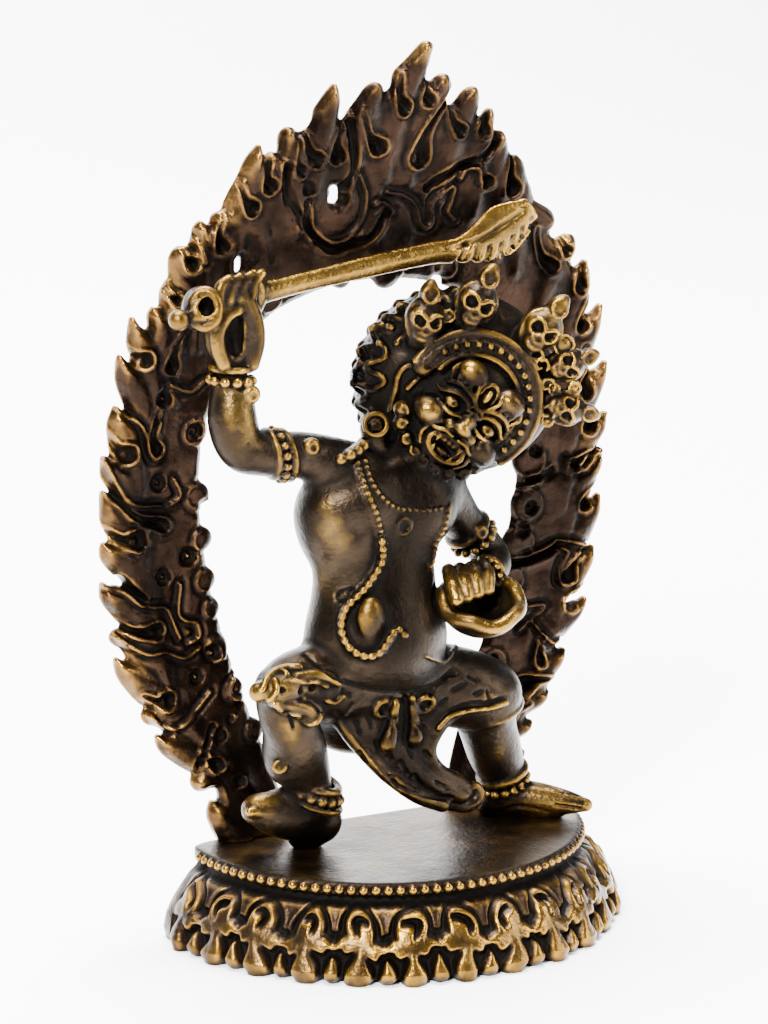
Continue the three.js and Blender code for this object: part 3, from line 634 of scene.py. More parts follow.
def aureole_plate():
    """The plate's outline with its tongues, lobes and holes, and the tongues' ridges."""
    plate = Plate(PLATE_LOW, PLATE_HIGH, PLATE_PITCH)
    tips = on_aureole(LEFT_TIPS + CREST_TIPS + RIGHT_TIPS)
    notches = on_aureole(LEFT_NOTCHES + CREST_NOTCHES + RIGHT_NOTCHES)
    inner = spline(INNER_EDGE, 5)
    left, right = (np.stack([AUREOLE_X + side * inner[:, 0], inner[:, 1]], axis=1) for side in (-1, 1))
    corners = np.vstack([LEFT_FOOT, notches, RIGHT_FOOT, right, left[::-1]])
    plate.outline[:] = polygon_distance(plate.x, plate.h, corners)

    ridges = []
    before = np.vstack([LEFT_FOOT, notches[:-1]])
    crest = range(len(LEFT_TIPS), len(LEFT_TIPS + CREST_TIPS))
    for i, (tip, last, following) in enumerate(zip(tips, before, notches)):
        tongue, ridge = tongue_strokes(tip, last, following, 1.5 if i in crest else 1.0)
        ridges.append(ridge)
        plate.extend(tongue, 0.5)
    for u, v, wide, s, t, narrow in FAT_TIPS:
        plate.extend(with_radius(on_aureole([(u, v), (s, t)]), np.array([wide, narrow]) * PIXEL), 0.4)
    for u, v, radius in LOBES:
        plate.extend(dot(on_aureole([(u, v)])[0], radius * PIXEL), 0.6)
    for u, v, wide, tall in HOLES:
        rise = max(tall - wide, 0)
        plate.extend(with_radius(on_aureole([(u, v - rise), (u, v + rise + 0.1)]), wide * PIXEL), 0.2, -1)
    return plate, ridges


def round_bead(d, h):
    return h + 0.8 * np.sqrt(np.clip(-d / BEAD_RADIUS, 0, 1))


def paint_flames(plate, ridges):
    for ridge in ridges:
        plate.emboss(ridge, lambda d, h: np.maximum(h, 0.58 * smoothstep(-d, -0.9, 0.8)), 1.5)
    for groove in GROOVES:
        curve = spline(with_radius(on_aureole(groove), 0.22))
        plate.scoop(curve, 0.85, -0.36, 0.2)
        plate.ridge(curve, 0.2, 0.5, 0.22)
    for line in LINES:
        curve = spline(with_radius(on_aureole(line), LINE_RADIUS))
        plate.ridge(curve, -0.36, 0.42, 0.3)
        plate.ridge(curve, 0.3, 0, 0.26)
    for x0, y0, x1, y1, radius in DROPS:
        mouth, end = on_aureole([(x0, y0), (x1, y1)])
        size = radius * PIXEL
        way = end - mouth
        side = np.array([way[1], -way[0]]) * 0.14
        curve = spline([
            (*(mouth - 0.4 * way), 0.2 * size), (*(mouth + way * 0.45 + side), 0.42 * size),
            (*end, 0.95 * size),
        ])
        plate.ridge(curve, -0.12, 0.5, 0.3)
        plate.scoop(curve, 1.05, 0.0, 0.75)
        plate.ridge(curve, 0.3, 0.12, 0.22)
        plate.scoop(dot(end - 0.2 * size, 0.3 * size), -0.45, -0.35, 0.3)
    for u, v, radius, bead in DIMPLES:
        spot = on_aureole([(u, v)])[0]
        size = radius * PIXEL
        plate.scoop(dot(spot, size), 0.85, -0.25, 0.6)
        plate.ridge(curl(spot, size, np.linspace(0.6, 4.2, 10) + radius), 0.18, 0, 0.16)
        if bead:
            plate.emboss(dot(spot, BEAD_RADIUS), round_bead)
        else:
            turn = np.linspace(0, 2.2 * math.pi, 14)
            plate.ridge(curl(spot, size * (0.15 + 0.11 * turn), turn), 0.45, 0, 0.2)
    for u, v, radius in LOBES:
        curve = dot(on_aureole([(u, v)])[0], radius * PIXEL)
        plate.ridge(curve, -0.22, 0.25, 0.25)
        plate.ridge(curve, 0.22, -0.15, 0.2)


def make_aureole():
    plate, ridges = aureole_plate()
    paint_flames(plate, ridges)
    casting = box_blur(np.random.default_rng(7).standard_normal(plate.front.shape), 6)
    plate.front += 0.5 * casting
    rounding = 0.75 * np.exp(-(np.clip(-plate.outline, 0, 2) / 0.45) ** 2)
    foot = 0.5 * np.exp(-(np.maximum(plate.h, 0) / 2.5) ** 2)
    front = 0.95 + plate.front - rounding + foot
    back = 0.85 + 0.3 * box_blur(plate.front, 5) - rounding + foot

    field = Field(AUREOLE_LOW, AUREOLE_HIGH, AUREOLE_PITCH)
    x, depth, h = field.block(AUREOLE_LOW, AUREOLE_HIGH)[1]
    outline, front, back = (plate.stretched(v, x.ravel(), h.ravel()) for v in (plate.outline, front, back))
    faces = np.maximum(depth - front, -depth - back) * 0.8
    field.values = np.maximum(np.maximum(faces, outline), -h)
    field.values[-1] = field.values[0] = FAR
    bent, quads = skin(field)
    bent[:, 1] = aureole_y(bent[:, 2]) - bent[:, 1]
    bent[:, 2] += BASE_TOP
    piece = new_piece("flame_aureole_cast", bent, quads[:, ::-1], 190000)

    flat = places_of(piece)
    flat[:, 2] -= BASE_TOP
    flat[:, 1] = aureole_y(flat[:, 2]) - flat[:, 1]
    mark_hollows(piece, field, flat, (0.45, 1.1, 2.4))
    rim = smoothstep(np.hypot((flat[:, 0] - AUREOLE_X) / 25.5, (flat[:, 2] - 38.0) / 45.0), 0.84, 1.04)
    edge = smoothstep(plate.outline_at(flat[:, 0], flat[:, 2]), -2.6, -0.2)
    set_attribute(piece, "polish_and_painted_light", 0.7 * rim * edge)
    return piece


# Lotus base: rings of points round the D-shaped outline, with a painted relief

BASE_HALF_WIDTH = 22.0
BASE_FRONT_DEPTH = 21.9
BASE_BACK_DEPTH = 2.75
BASE_CENTRE_Y = 11.0
BASE_SQUARENESS = 4.3
BASE_BACK_FLARE = 0.35
BASE_STEPS = 1150
PETALS = 14
PETAL_PITCH = 5.45
WALL_LEVELS = np.concatenate([np.linspace(0, 7.4, 44), np.linspace(7.55, 8.35, 5)])
FLARE_LEVELS = [0, 1.2, 2.8, 4.4, 6.0, 7.0, 7.6, 8.35]
FLARE = [2.9, 3.0, 2.5, 1.7, 0.8, 0.2, -0.5, -0.85]
RIM_BEADS = 54
RIM_BEAD_PITCH = 1.29
RIM_BEAD_RADIUS = 0.56
RIM_BEAD_LEVEL = 8.93
RIM_LEVELS = np.linspace(8.42, 9.45, 10)
LIP = [-0.42, -0.6]
LIP_LEVELS = [BASE_TOP - 0.06, BASE_TOP]
# Sizes of the rings that close the top and the underside, as parts of the outline.
RING_SHARES = np.array([0.97, 0.9, 0.78, 0.64, 0.5, 0.36, 0.22, 0.1])


def base_points(angle, out, z):
    """Points at angles round the D-shaped outline, moved out from it, at heights z."""
    front = np.sin(angle) < 0
    power = np.where(front, 1.0, 2 / BASE_SQUARENESS)
    depth = np.where(front, BASE_FRONT_DEPTH + out, BASE_BACK_DEPTH + out * BASE_BACK_FLARE)
    across = np.sign(np.cos(angle)) * np.abs(np.cos(angle)) ** power
    along = np.sign(np.sin(angle)) * np.abs(np.sin(angle)) ** power
    x, y, z = np.broadcast_arrays((BASE_HALF_WIDTH + out) * across, BASE_CENTRE_Y + depth * along, z)
    return np.stack([x, y, z], axis=-1)


def petal_relief(a, z, hand):
    """Height of the petal work at a place a along one petal, middle 0, in millimetres."""
    half = PETAL_PITCH / 2

    def stroke(*points):
        return chain([a, z], spline(points, 5))

    def rounded(gap, height, soft=0.85):
        return height * (smoothstep(-gap, -0.2, 0.32) * 0.7 + 0.3 * (1 - np.exp(-np.clip(-gap, 0, 3) / soft)))

    head = stroke((-0.1, 4.6, 1.45), (0, 5.1, 1.75), (0.05, 5.3, 1.8))
    wave = stroke(
        (-half - 0.5, 3.8, 0.5), (-half, 3.72, 0.48), (-half + 0.5, 3.8, 0.55), (-1.5, 4.0, 0.86),
        (0, 4.1, 0.95), (1.5, 3.95, 0.84), (half - 0.5, 3.8, 0.55), (half, 3.72, 0.48),
        (half + 0.5, 3.8, 0.5),
    )
    bell = stroke((0, 3.8, 0.8), (0, 2.6, 0.85), (0, 1.6, 1.22), (0, 0.85, 1.5))
    shape = np.minimum(np.minimum(head, wave), bell)
    for side in (-1, 1):
        shape = np.minimum(shape, stroke((side * 0.9, 3.7, 0.8), (side * 1.5, 3.35, 0.66)))
    shape = rounded(shape, 1.55)
    for at in (-half, half):
        bud = stroke((at, 2.45, 0.4), (at, 1.6, 0.72), (at, 0.8, 1.0))
        shape = np.maximum(shape, rounded(bud, 1.3, 0.6))
    comma = stroke(
        (0.85 * hand, 6.15, 0.22), (0.15 * hand, 6.15, 0.34), (-0.5 * hand, 5.7, 0.36),
        (-0.35 * hand, 5.0, 0.22),
    )
    shape = shape - 1.3 * smoothstep(-comma, -0.2, 0.22)
    upper = smoothstep(z, 4.5, 5.3)
    hood = np.sqrt(a ** 2 + (z - 5.25) ** 2)
    shape = np.maximum(shape, 0.7 * smoothstep(hood, 2.02, 2.3) * upper)
    return shape + 0.15 * np.exp(-((hood - 2.45) / 0.18) ** 2) * upper


def petal_wall(turn, petal):
    """How far the wall stands out at each angle and level, and the relief that is in it."""
    petal, turn = petal[:, None], turn[:, None]
    a = (petal - np.round(petal)) * PETAL_PITCH
    z = WALL_LEVELS[None, :]
    on_front = smoothstep(turn, -math.pi, -math.pi + 0.05) * smoothstep(-turn, 0, 0.05) * (turn < 0)
    hand = np.where((np.round(petal) % 3 == 1) | (petal > 8), 1.0, -1.0)
    swing = 0.26 * np.sin(2.1 * petal + 0.9 * z) + 0.2 * np.sin(5.3 * petal - 0.6 * z)
    lift = 0.22 * np.sin(3.1 * petal + 0.4 * a) + 0.12 * np.sin(7.7 * petal)
    bent = (a + swing * np.cos(a * 0.57), z + lift * smoothstep(z, 0.0, 2.0))
    relief = np.where(hand > 0, petal_relief(*bent, 1.0), petal_relief(*bent, -1.0))
    relief = box_blur(relief * smoothstep(-z, -7.6, -7.0), 1)
    wobble = 0.10 * np.sin(petal * 1.7) + 0.08 * np.sin(petal * 4.1 + 1.0)
    swell = 0.35 * np.sin(np.clip(z, 0, 7) / 7 * math.pi)
    out = np.interp(z, FLARE_LEVELS, FLARE) - 0.35 * on_front
    out = out + relief * on_front * (1 + wobble) + swell * (1 - on_front)
    skirts = 0.35 * smoothstep(-z, -1.2, 0.0) * on_front * (1 - np.exp(-(a / 0.9) ** 2))
    return out - skirts, relief


def beaded_rim(turn):
    """How far the rim stands out, with a row of beads round the front."""
    bead = (turn[:, None] + math.pi) / math.pi * RIM_BEADS
    place = (bead - np.floor(bead) - 0.5) * RIM_BEAD_PITCH
    z = RIM_LEVELS[None, :]
    drop = RIM_BEAD_RADIUS ** 2 - place ** 2 - (z - RIM_BEAD_LEVEL) ** 2
    beads = np.sqrt(np.clip(drop, 0, None)) * 1.05
    edge = -0.45 + 0.1 * smoothstep(z, 9.0, 9.4)
    return np.where(turn[:, None] < 0, np.maximum(edge, -0.42 + beads), -0.35)


def rings_to_triangles(rows, steps):
    """Faces between rings of points, with a fan to one middle point below and one above."""
    index = np.arange(rows * steps).reshape(rows, steps)
    following = np.roll(index, -1, axis=1)
    quads = np.stack([index[:-1], following[:-1], following[1:], index[1:]], axis=-1).reshape(-1, 4)
    bottom, top = np.full(steps, rows * steps), np.full(steps, rows * steps + 1)
    return np.vstack([
        quads[:, [0, 1, 2]], quads[:, [0, 2, 3]],
        np.stack([following[0], index[0], bottom], axis=1),
        np.stack([index[-1], following[-1], top], axis=1),
    ])


def make_base():
    turn = np.linspace(-math.pi, math.pi, BASE_STEPS, endpoint=False)
    petal = (turn + math.pi) / math.pi * PETALS - 0.5
    wall, relief = petal_wall(turn, petal)
    rim = beaded_rim(turn)
    out = np.hstack([wall, rim, np.tile(LIP, (BASE_STEPS, 1))])
    levels = np.concatenate([WALL_LEVELS, RIM_LEVELS, LIP_LEVELS])
    side = base_points(turn[:, None], out, levels[None, :]).transpose(1, 0, 2)
    middle = np.array([0.0, BASE_CENTRE_Y - BASE_FRONT_DEPTH * 0.42, 0.0])

    def smaller(ring, shares, z):
        rings = middle + (ring - middle) * shares[:, None, None]
        rings[..., 2] = z
        return rings

    under, over = smaller(side[0], RING_SHARES[::-1], 0.0), smaller(side[-1], RING_SHARES, BASE_TOP)
    rows = np.concatenate([under, side, over])
    vertices = np.vstack([rows.reshape(-1, 3), middle, middle + (0, 0, BASE_TOP)])
    piece = new_piece("lotus_base_cast", vertices, rings_to_triangles(len(rows), BASE_STEPS), 195000)

    on_side = slice(len(under) * BASE_STEPS, (len(under) + len(side)) * BASE_STEPS)
    lip = np.full((BASE_STEPS, len(LIP)), -0.45)
    grid = np.hstack([wall, rim, lip])
    for name, reach, strength in (("fine", 2, 0.5), ("middle", 5, 0.26), ("broad", 10, 0.26)):
        values = np.full(len(vertices), 0.47)
        values[on_side] = np.clip(0.5 - (grid - box_blur(grid, reach, 2)) * strength, 0, 1).T.ravel()
        set_attribute(piece, name, values)
    fade = 0.45 + 0.65 * smoothstep(petal, 1.5, 5.0)
    rubbed = 0.95 * smoothstep(relief, 0.85, 1.35) * fade[:, None]
    rubbed = rubbed * (1 - 0.6 * smoothstep(WALL_LEVELS, 5.0, 6.8))
    polish_and_painted_light = np.zeros(len(vertices))
    polish_and_painted_light[on_side] = np.hstack([rubbed, smoothstep(rim, -0.3, 0.0), np.zeros_like(lip)]).T.ravel()
    level = vertices[:, 2]
    polish_and_painted_light *= np.where(level > 8.4, 1.0, 0.95 * smoothstep(-level, -7.4, -6.4))
    polish_and_painted_light *= vertices[:, 1] < 12.5
    polish_and_painted_light[level > BASE_TOP - 0.01] = 0.5
    set_attribute(piece, "polish_and_painted_light", polish_and_painted_light)
    return piece


# Figure

FIGURE_LOW = (-28.6, -6.6, 9.0)
FIGURE_HIGH = (21.8, 12.4, 78.0)
FIGURE_PITCH = 0.17

HEAD = dict(place=(5.5, 2.7, 56.2), turn=-17.0, lean=40.0)
HAIR_MIDDLE = (-2.4, 3.0, 0.7)
TORSO = [
    (-4.2, 4.9, 26.6, 7.2, 4.6), (-4.3, 4.0, 31.6, 7.5, 5.8), (-4.2, 4.3, 36.6, 6.9, 5.3),
    (-3.9, 4.7, 41.5, 6.6, 4.8), (-3.4, 4.9, 46.0, 8.2, 4.6), (-1.6, 5.0, 49.4, 7.2, 4.0),
    (1.2, 4.6, 52.0, 4.2, 3.6), (3.0, 4.0, 54.5, 3.4, 3.2),
]
SWORD_ARM = [
    (-6.0, 4.9, 49.6, 3.4), (-11.6, 4.8, 52.1, 2.5), (-16.2, 4.8, 52.8, 2.35), (-18.9, 4.9, 53.6, 2.4),
    (-19.9, 5.0, 56.2, 2.55), (-19.9, 5.2, 58.8, 2.25), (-19.9, 5.4, 61.6, 1.6), (-19.8, 5.4, 64.4, 1.8),
]
CUP_ARM = [
    (3.8, 5.4, 47.2, 3.0), (7.0, 6.2, 43.4, 2.3), (10.6, 6.6, 39.4, 2.05), (10.4, 4.9, 38.3, 1.85),
    (8.6, 2.6, 38.0, 1.6), (6.6, 0.9, 38.4, 1.5),
]
BENT_LEG = [
    (-6.6, 4.8, 27.0, 4.4), (-11.2, 3.5, 28.2, 4.0), (-15.2, 2.4, 28.3, 3.1), (-15.6, 1.9, 26.0, 2.9),
    (-14.1, 2.3, 22.4, 2.9), (-12.4, 3.5, 18.6, 2.4), (-11.4, 4.3, 15.2, 2.0),
]
STRETCHED_LEG = [
    (1.2, 5.2, 26.2, 4.4), (6.0, 5.1, 24.9, 4.0), (9.0, 4.9, 23.2, 3.5), (10.0, 5.3, 20.4, 3.1),
    (11.4, 6.1, 17.0, 2.9), (12.9, 6.7, 13.8, 2.3), (13.2, 6.7, 12.2, 2.0),
]
RAISED_FOOT = [
    (-9.7, 5.2, 12.9, 1.9), (-12.4, 5.0, 13.4, 2.0), (-15.4, 5.1, 14.2, 1.85), (-17.6, 5.3, 14.9, 1.35),
]
POINTED_FOOT = [
    (12.2, 7.2, 11.6, 1.75), (15.0, 5.3, 11.7, 1.9), (18.0, 3.3, 11.4, 1.45), (20.3, 1.8, 11.1, 0.75),
]


def unit(v):
    v = np.asarray(v, float)
    return v / np.linalg.norm(v)


def head_basis():
    """The head's own right, back and up as columns."""
    turn, lean = math.radians(HEAD["turn"]), math.radians(HEAD["lean"])
    level = np.array([math.cos(turn), math.sin(turn), 0.0])
    upright = np.array([0.0, 0.0, 1.0])
    right = level * math.cos(lean) - upright * math.sin(lean)
    up = upright * math.cos(lean) + level * math.sin(lean)
    return np.stack([right, np.cross(up, right), up], axis=1)


HEAD_BASIS = head_basis()
HEAD_PLACE = np.array(HEAD["place"])


class Head:
    """Adds forms to the field in the head's own frame, or mirrored in it with side -1."""

    def __init__(self, field, side=1):
        self.field = field
        self.mirror = np.array([side, 1, 1])

    def placed(self, points):
        p = np.atleast_2d(np.asarray(points, float))
        return np.column_stack([(p[:, :3] * self.mirror) @ HEAD_BASIS.T + HEAD_PLACE, p[:, 3:]])

    def ball(self, centre, radii, blend, sign=1):
        self.field.ball(self.placed(centre)[0], radii, blend, sign, HEAD_BASIS)

    def tube(self, points, blend, sign=1):
        self.field.tube(self.placed(points), blend, sign)


def bead_row(field, points, radius, pitch, blend=0.05):
    for spot in evenly(points, pitch):
        field.ball(spot[:3], radius, blend)


def ring_points(centre, axis, wide, deep, count):
    """Points round an axis; the first lies level, or along x where the axis points to the front."""
    axis = unit(axis)
    across = np.array([axis[2], 0.0, -axis[0]])
    across = unit(across) if np.linalg.norm(across) >= 0.1 else np.array([1.0, 0.0, 0.0])
    other = np.cross(axis, across)
    turn = np.linspace(0, FULL_TURN, count, endpoint=False)[:, None]
    return np.asarray(centre) + across * wide * np.cos(turn) + other * deep * np.sin(turn)


def band(field, centre, axis, wide, deep, thick, blend=0.1):
    loop = ring_points(centre, axis, wide, deep, 24)
    field.stroke(with_radius(np.vstack([loop, loop[:1]]), thick), blend)


def seen_line(field, pixels, radius, lift, blend=0.08, sign=1, steps=8):
    """A raised or cut line on the surface along pixels of the photograph."""
    hits = field.seen(spline(pixels, steps), lift)
    field.stroke(with_radius(hits, radius), blend, sign)


def seen_beads(field, pixels, radius, pitch, lift):
    bead_row(field, field.seen(spline(pixels, 8), lift), radius, pitch, 0.04)


def seen_tube(field, pixels, y, radii, blend, sign=1):
    """A tube whose middle line is seen at the pixels, all at one y."""
    field.tube(with_radius(at_y(pixels, y), radii), blend, sign)


def build_torso(field):
    stations = spline(TORSO)
    stations = stations[np.argsort(stations[:, 2])]
    bottom, top = stations[0, 2], stations[-1, 2]

    def distance(c):
        x, y, z = c
        cx, cy, rx, ry = (
            np.interp(z, stations[:, 2], stations[:, i]).astype(np.float32) for i in (0, 1, 3, 4)
        )
        size = np.sqrt(((x - cx) / rx) ** 2 + ((y - cy) / ry) ** 2)
        return np.maximum((size - 1) * np.minimum(rx, ry), np.maximum(bottom - z, z - top))

    field.add(distance, (-13, -2, 26), (8, 11, 55), 0.5)
    for centre, radii, blend in (
        ((-4.6, 3.0, 32.6), (7.0, 5.2, 5.4), 2.0), ((-6.6, 2.6, 46.4), (4.2, 2.9, 4.2), 1.6),
        ((0.6, 2.8, 46.0), (4.0, 2.7, 3.8), 1.6), ((-4.2, 6.2, 25.6), (8.6, 4.6, 4.2), 2.0),
        ((-10.2, 5.0, 45.4), (2.3, 3.2, 4.6), 1.6),
    ):
        field.ball(centre, radii, blend)


def build_limbs(field):
    for limb, blend in ((SWORD_ARM, 0.8), (CUP_ARM, 0.8), (BENT_LEG, 1.2), (STRETCHED_LEG, 1.2)):
        field.tube(limb, blend)
    field.ball((-15.0, 3.6, 21.6), (2.3, 2.4, 3.8), 1.2)
    field.ball((12.4, 7.4, 17.6), (2.3, 2.3, 3.6), 1.0)
    field.tube(RAISED_FOOT, 0.8)
    field.tube([(-9.9, 5.4, 12.0, 1.7), (-13.4, 5.0, 12.6, 1.4), (-16.2, 5.0, 13.5, 1.1)], 1.0)
    seen_tube(field, [(309, 812), (296, 816), (276, 813), (258, 809)], 5.2, [2.0, 2.15, 1.9, 1.5], 0.8)
    seen_tube(field, [(304, 792), (288, 800), (268, 806)], 4.9, [1.9, 1.6, 1.3], 0.8)
    field.tube(POINTED_FOOT, 0.8)
    field.ball((-11.0, 6.6, 11.0), (2.2, 2.0, 1.8), 0.6)
    field.tube([(11.6, 7.8, 10.4, 1.2), (14.6, 5.8, 10.4, 1.4), (17.6, 3.8, 10.5, 1.1)], 0.5)
    for i in range(4):
        toe = np.array([-18.0 + i * 0.25, 4.1 + i * 0.9, 15.1 - i * 0.25])
        field.tube([(*(toe + (1.6, 0, -0.5)), 0.62), (*toe, 0.6), (*(toe - (0.8, 0, -0.1)), 0.5)], 0.15)


def build_half_face(half):
    """Cheek, brow, eye, lids, wrinkles, whiskers, nostril, folds and jaw of one side."""
    half.ball((3.4, -3.0, -2.5), (1.95, 1.95, 1.65), 0.35)
    half.ball((2.5, -3.9, 3.3), (1.75, 1.6, 1.4), 0.25)
    half.ball((2.4, -4.3, -0.35), (1.6, 0.95, 1.05), 0.12, -1)
    half.ball((2.4, -3.8, -0.35), (0.95, 1.0, 0.72), 0.05)
    half.ball((2.35, -4.75, -0.35), (0.3, 0.25, 0.3), 0.05, -1)
    for line in (
        [(0.6, -4.9, 0.1, 0.2), (1.6, -4.9, 0.75, 0.3), (2.9, -4.6, 0.75, 0.3), (4.2, -3.6, -0.1, 0.24),
         (4.7, -3.0, 0.3, 0.16)],
        [(0.9, -4.9, -1.0, 0.2), (2.2, -4.8, -1.35, 0.26), (3.7, -3.8, -1.0, 0.2)],
        [(0.4, -5.0, 0.9, 0.26), (1.5, -5.0, 1.5, 0.3), (2.9, -4.6, 1.65, 0.3), (4.3, -3.5, 1.0, 0.24)],
    ):
        half.tube(line, 0.08)
    for i in range(5):
        foot = 0.9 + 0.78 * i
        depth = 5.1 - 0.3 * i
        half.tube([(foot, -depth, 1.5, 0.2), (foot + 0.45, -depth - 0.1, 2.4, 0.24),
                   (foot + 0.25, -depth + 0.1, 3.3, 0.16)], 0.05)
    for i in range(3):
        half.tube([(3.7 + 0.35 * i, -3.4 + 0.35 * i, -3.9 + 0.1 * i, 0.17),
                   (4.9 + 0.15 * i, -2.5 + 0.35 * i, -2.9 + 0.4 * i, 0.2),
                   (5.0 + 0.1 * i, -2.2 + 0.35 * i, -1.7 + 0.5 * i, 0.15)], 0.05)
    half.ball((1.2, -4.9, -2.2), (0.85, 0.85, 0.66), 0.12)
    half.ball((0.9, -5.6, -2.6), (0.32, 0.35, 0.26), 0.05, -1)
    for line in (
        [(1.9, -4.7, -2.3, 0.24), (2.6, -4.2, -3.4, 0.28), (2.9, -3.8, -4.6, 0.26), (2.3, -3.8, -5.6, 0.22)],
        [(0.4, -5.2, -3.05, 0.26), (1.3, -5.2, -2.95, 0.28), (2.3, -4.7, -3.4, 0.26), (3.0, -4.1, -3.2, 0.2)],
    ):
        half.tube(line, 0.08)
    half.ball((5.0, 0.2, -1.4), (0.9, 1.5, 3.0), 0.4)


def build_head(head, halves):
    head.ball(HAIR_MIDDLE, (9.6, 5.2, 9.6), 0.6)
    head.ball((0, 0.8, 0.8), (5.4, 5.1, 6.2), 0.5)
    head.ball((0, -1.0, -3.6), (3.9, 3.4, 2.7), 1.0)
    head.ball((0, 2.0, -4.4), (5.0, 2.6, 3.2), 1.0)
    for half in halves:
        build_half_face(half)
    head.ball((0, -4.7, -1.2), (0.85, 1.15, 1.5), 0.2)
    head.ball((0, -5.4, -1.9), (1.0, 0.85, 0.7), 0.15)
    for i in range(3):
        lift = -0.5 + 0.55 * i
        head.tube([(-0.9, -5.0, lift - 0.15, 0.15), (0, -5.45 + 0.12 * i, lift + 0.15, 0.2),
                   (0.9, -5.0, lift - 0.15, 0.15)], 0.04)
    head.ball((0, -4.5, 2.3), (1.2, 0.7, 1.7), 0.1)
    head.ball((0, -4.9, 2.3), (0.75, 0.7, 1.25), 0.04, -1)
    head.ball((0, -4.75, 2.3), (0.42, 0.6, 0.9), 0.04)
    head.ball((0, -5.0, -4.5), (2.05, 1.7, 1.2), 0.1, -1)
    head.ball((0, -3.7, -4.95), (1.1, 1.1, 0.5), 0.2)
    head.tube([(2.1 * math.cos(t), -4.5, -4.45 + 1.3 * math.sin(t), 0.3)
               for t in np.linspace(0, FULL_TURN, 13)], 0.06)
    for i in range(-2, 3):
        head.ball((0.6 * i, -4.5, -3.75), (0.27, 0.32, 0.42), 0.03)
    for half in halves:
        half.tube([(1.4, -4.7, -3.6, 0.26), (1.35, -4.8, -4.4, 0.12)], 0.03)
        half.tube([(1.1, -4.6, -5.35, 0.24), (1.2, -4.8, -4.6, 0.1)], 0.03)


# Places of the beard's curls, across and up in the head's frame.
CURLS = [
    (-5.7, -4.2), (-4.8, -5.4), (-3.3, -6.3), (-1.9, -6.6), (-0.6, -6.8), (0.9, -6.8), (2.4, -6.3),
    (3.7, -5.4), (4.5, -4.2), (4.9, -2.7), (4.9, -1.0),
]


def build_beard(head):
    for i, (across, up) in enumerate(CURLS):
        deep = -2.5 if i < 8 else -1.6
        head.ball((across, deep, up), (0.9, 0.85, 0.9), 0.12)
        curl = []
        for t in np.linspace(0, 1.7 * math.pi, 9):
            size = 0.66 * (1 - t / 7.5)
            curl.append((across + size * math.cos(t + i), deep - 0.78, up + size * math.sin(t + i), 0.17))
        head.tube(curl, 0.04)


# Middle of the diadem, across and up in the head's frame, and its hoops: radius, y, first and last angle
# from the head's right, thickness, blend, sign.
DIADEM = (-0.45, 0.85)
HOOPS = [
    (6.1, -2.0, 182, -22, 1.15, 0.3, 1), (7.3, -2.5, 182, -24, 0.42, 0.12, 1),
    (5.0, -3.0, 172, -20, 0.34, 0.1, 1), (6.1, -3.35, 178, -20, 0.5, 0.1, -1),
]
# Skulls of the crown: angle from the top, distance of the middle, size, own tilt.
SKULLS = [
    (-70, 9.4, 1.1, 40), (-37, 9.8, 1.15, 24), (7, 10.0, 1.15, -8), (32, 10.6, 0.95, 0), (56, 10.0, 1.0, 10),
]
# Small jewels between them: angle from the top, distance of the middle, size.
JEWELS = [
    (-54, 9.2, 0.6), (-18, 9.0, 0.55), (44, 9.0, 0.55), (66, 8.6, 0.6), (21, 11.4, 1.0), (45, 11.2, 0.6),
]
SWIRLS = [16, 24, 40, 60]


def on_diadem(degrees, radius, y):
    turn = math.radians(degrees)
    return np.array([DIADEM[0] + radius * math.sin(turn), y, DIADEM[1] + radius * math.cos(turn)])


def build_skull(head, degrees, middle, size, tilt):
    centre = on_diadem(degrees, middle, -1.4)
    way = math.radians(degrees + tilt)
    out = np.array([math.sin(way), 0.0, math.cos(way)])
    across = np.array([math.cos(way), 0.0, -math.sin(way)])

    def spot(lift, aside, front, thick=0.0):
        """A place in the skull's own sizes, with a radius."""
        place = centre + out * lift * size + across * aside * size - np.array([0, front * size, 0])
        return (*place, thick * size)

    def lump(lift, aside, front, radii, blend, sign=1):
        head.ball(spot(lift, aside, front)[:3], np.array(radii) * size, blend, sign)

    head.tube([spot(-1.4, 0, -0.5, 1.4), spot(0.3, 0, -0.4, 1.85), spot(1.0, 0, -0.3, 1.6)], 0.3)
    head.tube([spot(0.05 + 2.15 * math.cos(t), (1.75 + 0.35 * math.cos(t)) * math.sin(t), 0.35, 0.2)
               for t in np.linspace(0, FULL_TURN, 17)], 0.08)
    lump(0.45, 0, 0.7, (1.72, 1.1, 1.3), 0.15)
    lump(-0.9, 0, 0.8, (1.02, 0.85, 1.0), 0.2)
    for side in (-1, 1):
        lump(0.35, side * 0.8, 1.75, (0.62, 0.9, 0.6), 0.08, -1)
        head.tube([spot(1.05, side * 1.35, 1.3, 0.2), spot(1.1, side * 0.7, 1.65, 0.22),
                   spot(0.6, side * 0.1, 1.85, 0.2)], 0.05)
    lump(-0.4, 0, 1.8, (0.24, 0.4, 0.26), 0.05, -1)
    head.tube([spot(-1.0, -0.7, 1.4, 0.13), spot(-1.15, 0, 1.62, 0.13), spot(-1.0, 0.7, 1.4, 0.13)], 0.03, -1)
    head.tube([spot(1.9, 0, -0.2, 0.8), spot(2.8, 0, 0.0, 1.0), spot(3.5, 0, 0.0, 0.7),
               spot(3.9, 0.1, 0.0, 0.4)], 0.2)
    head.tube([spot(3.7, -0.1, 0.6, 0.13), spot(3.1, -0.7, 0.75, 0.17), spot(2.4, -0.6, 1.0, 0.18),
               spot(2.1, 0, 1.05, 0.18), spot(2.4, 0.6, 1.0, 0.18), spot(3.1, 0.7, 0.75, 0.17),
               spot(3.7, 0.3, 0.6, 0.13)], 0.06)


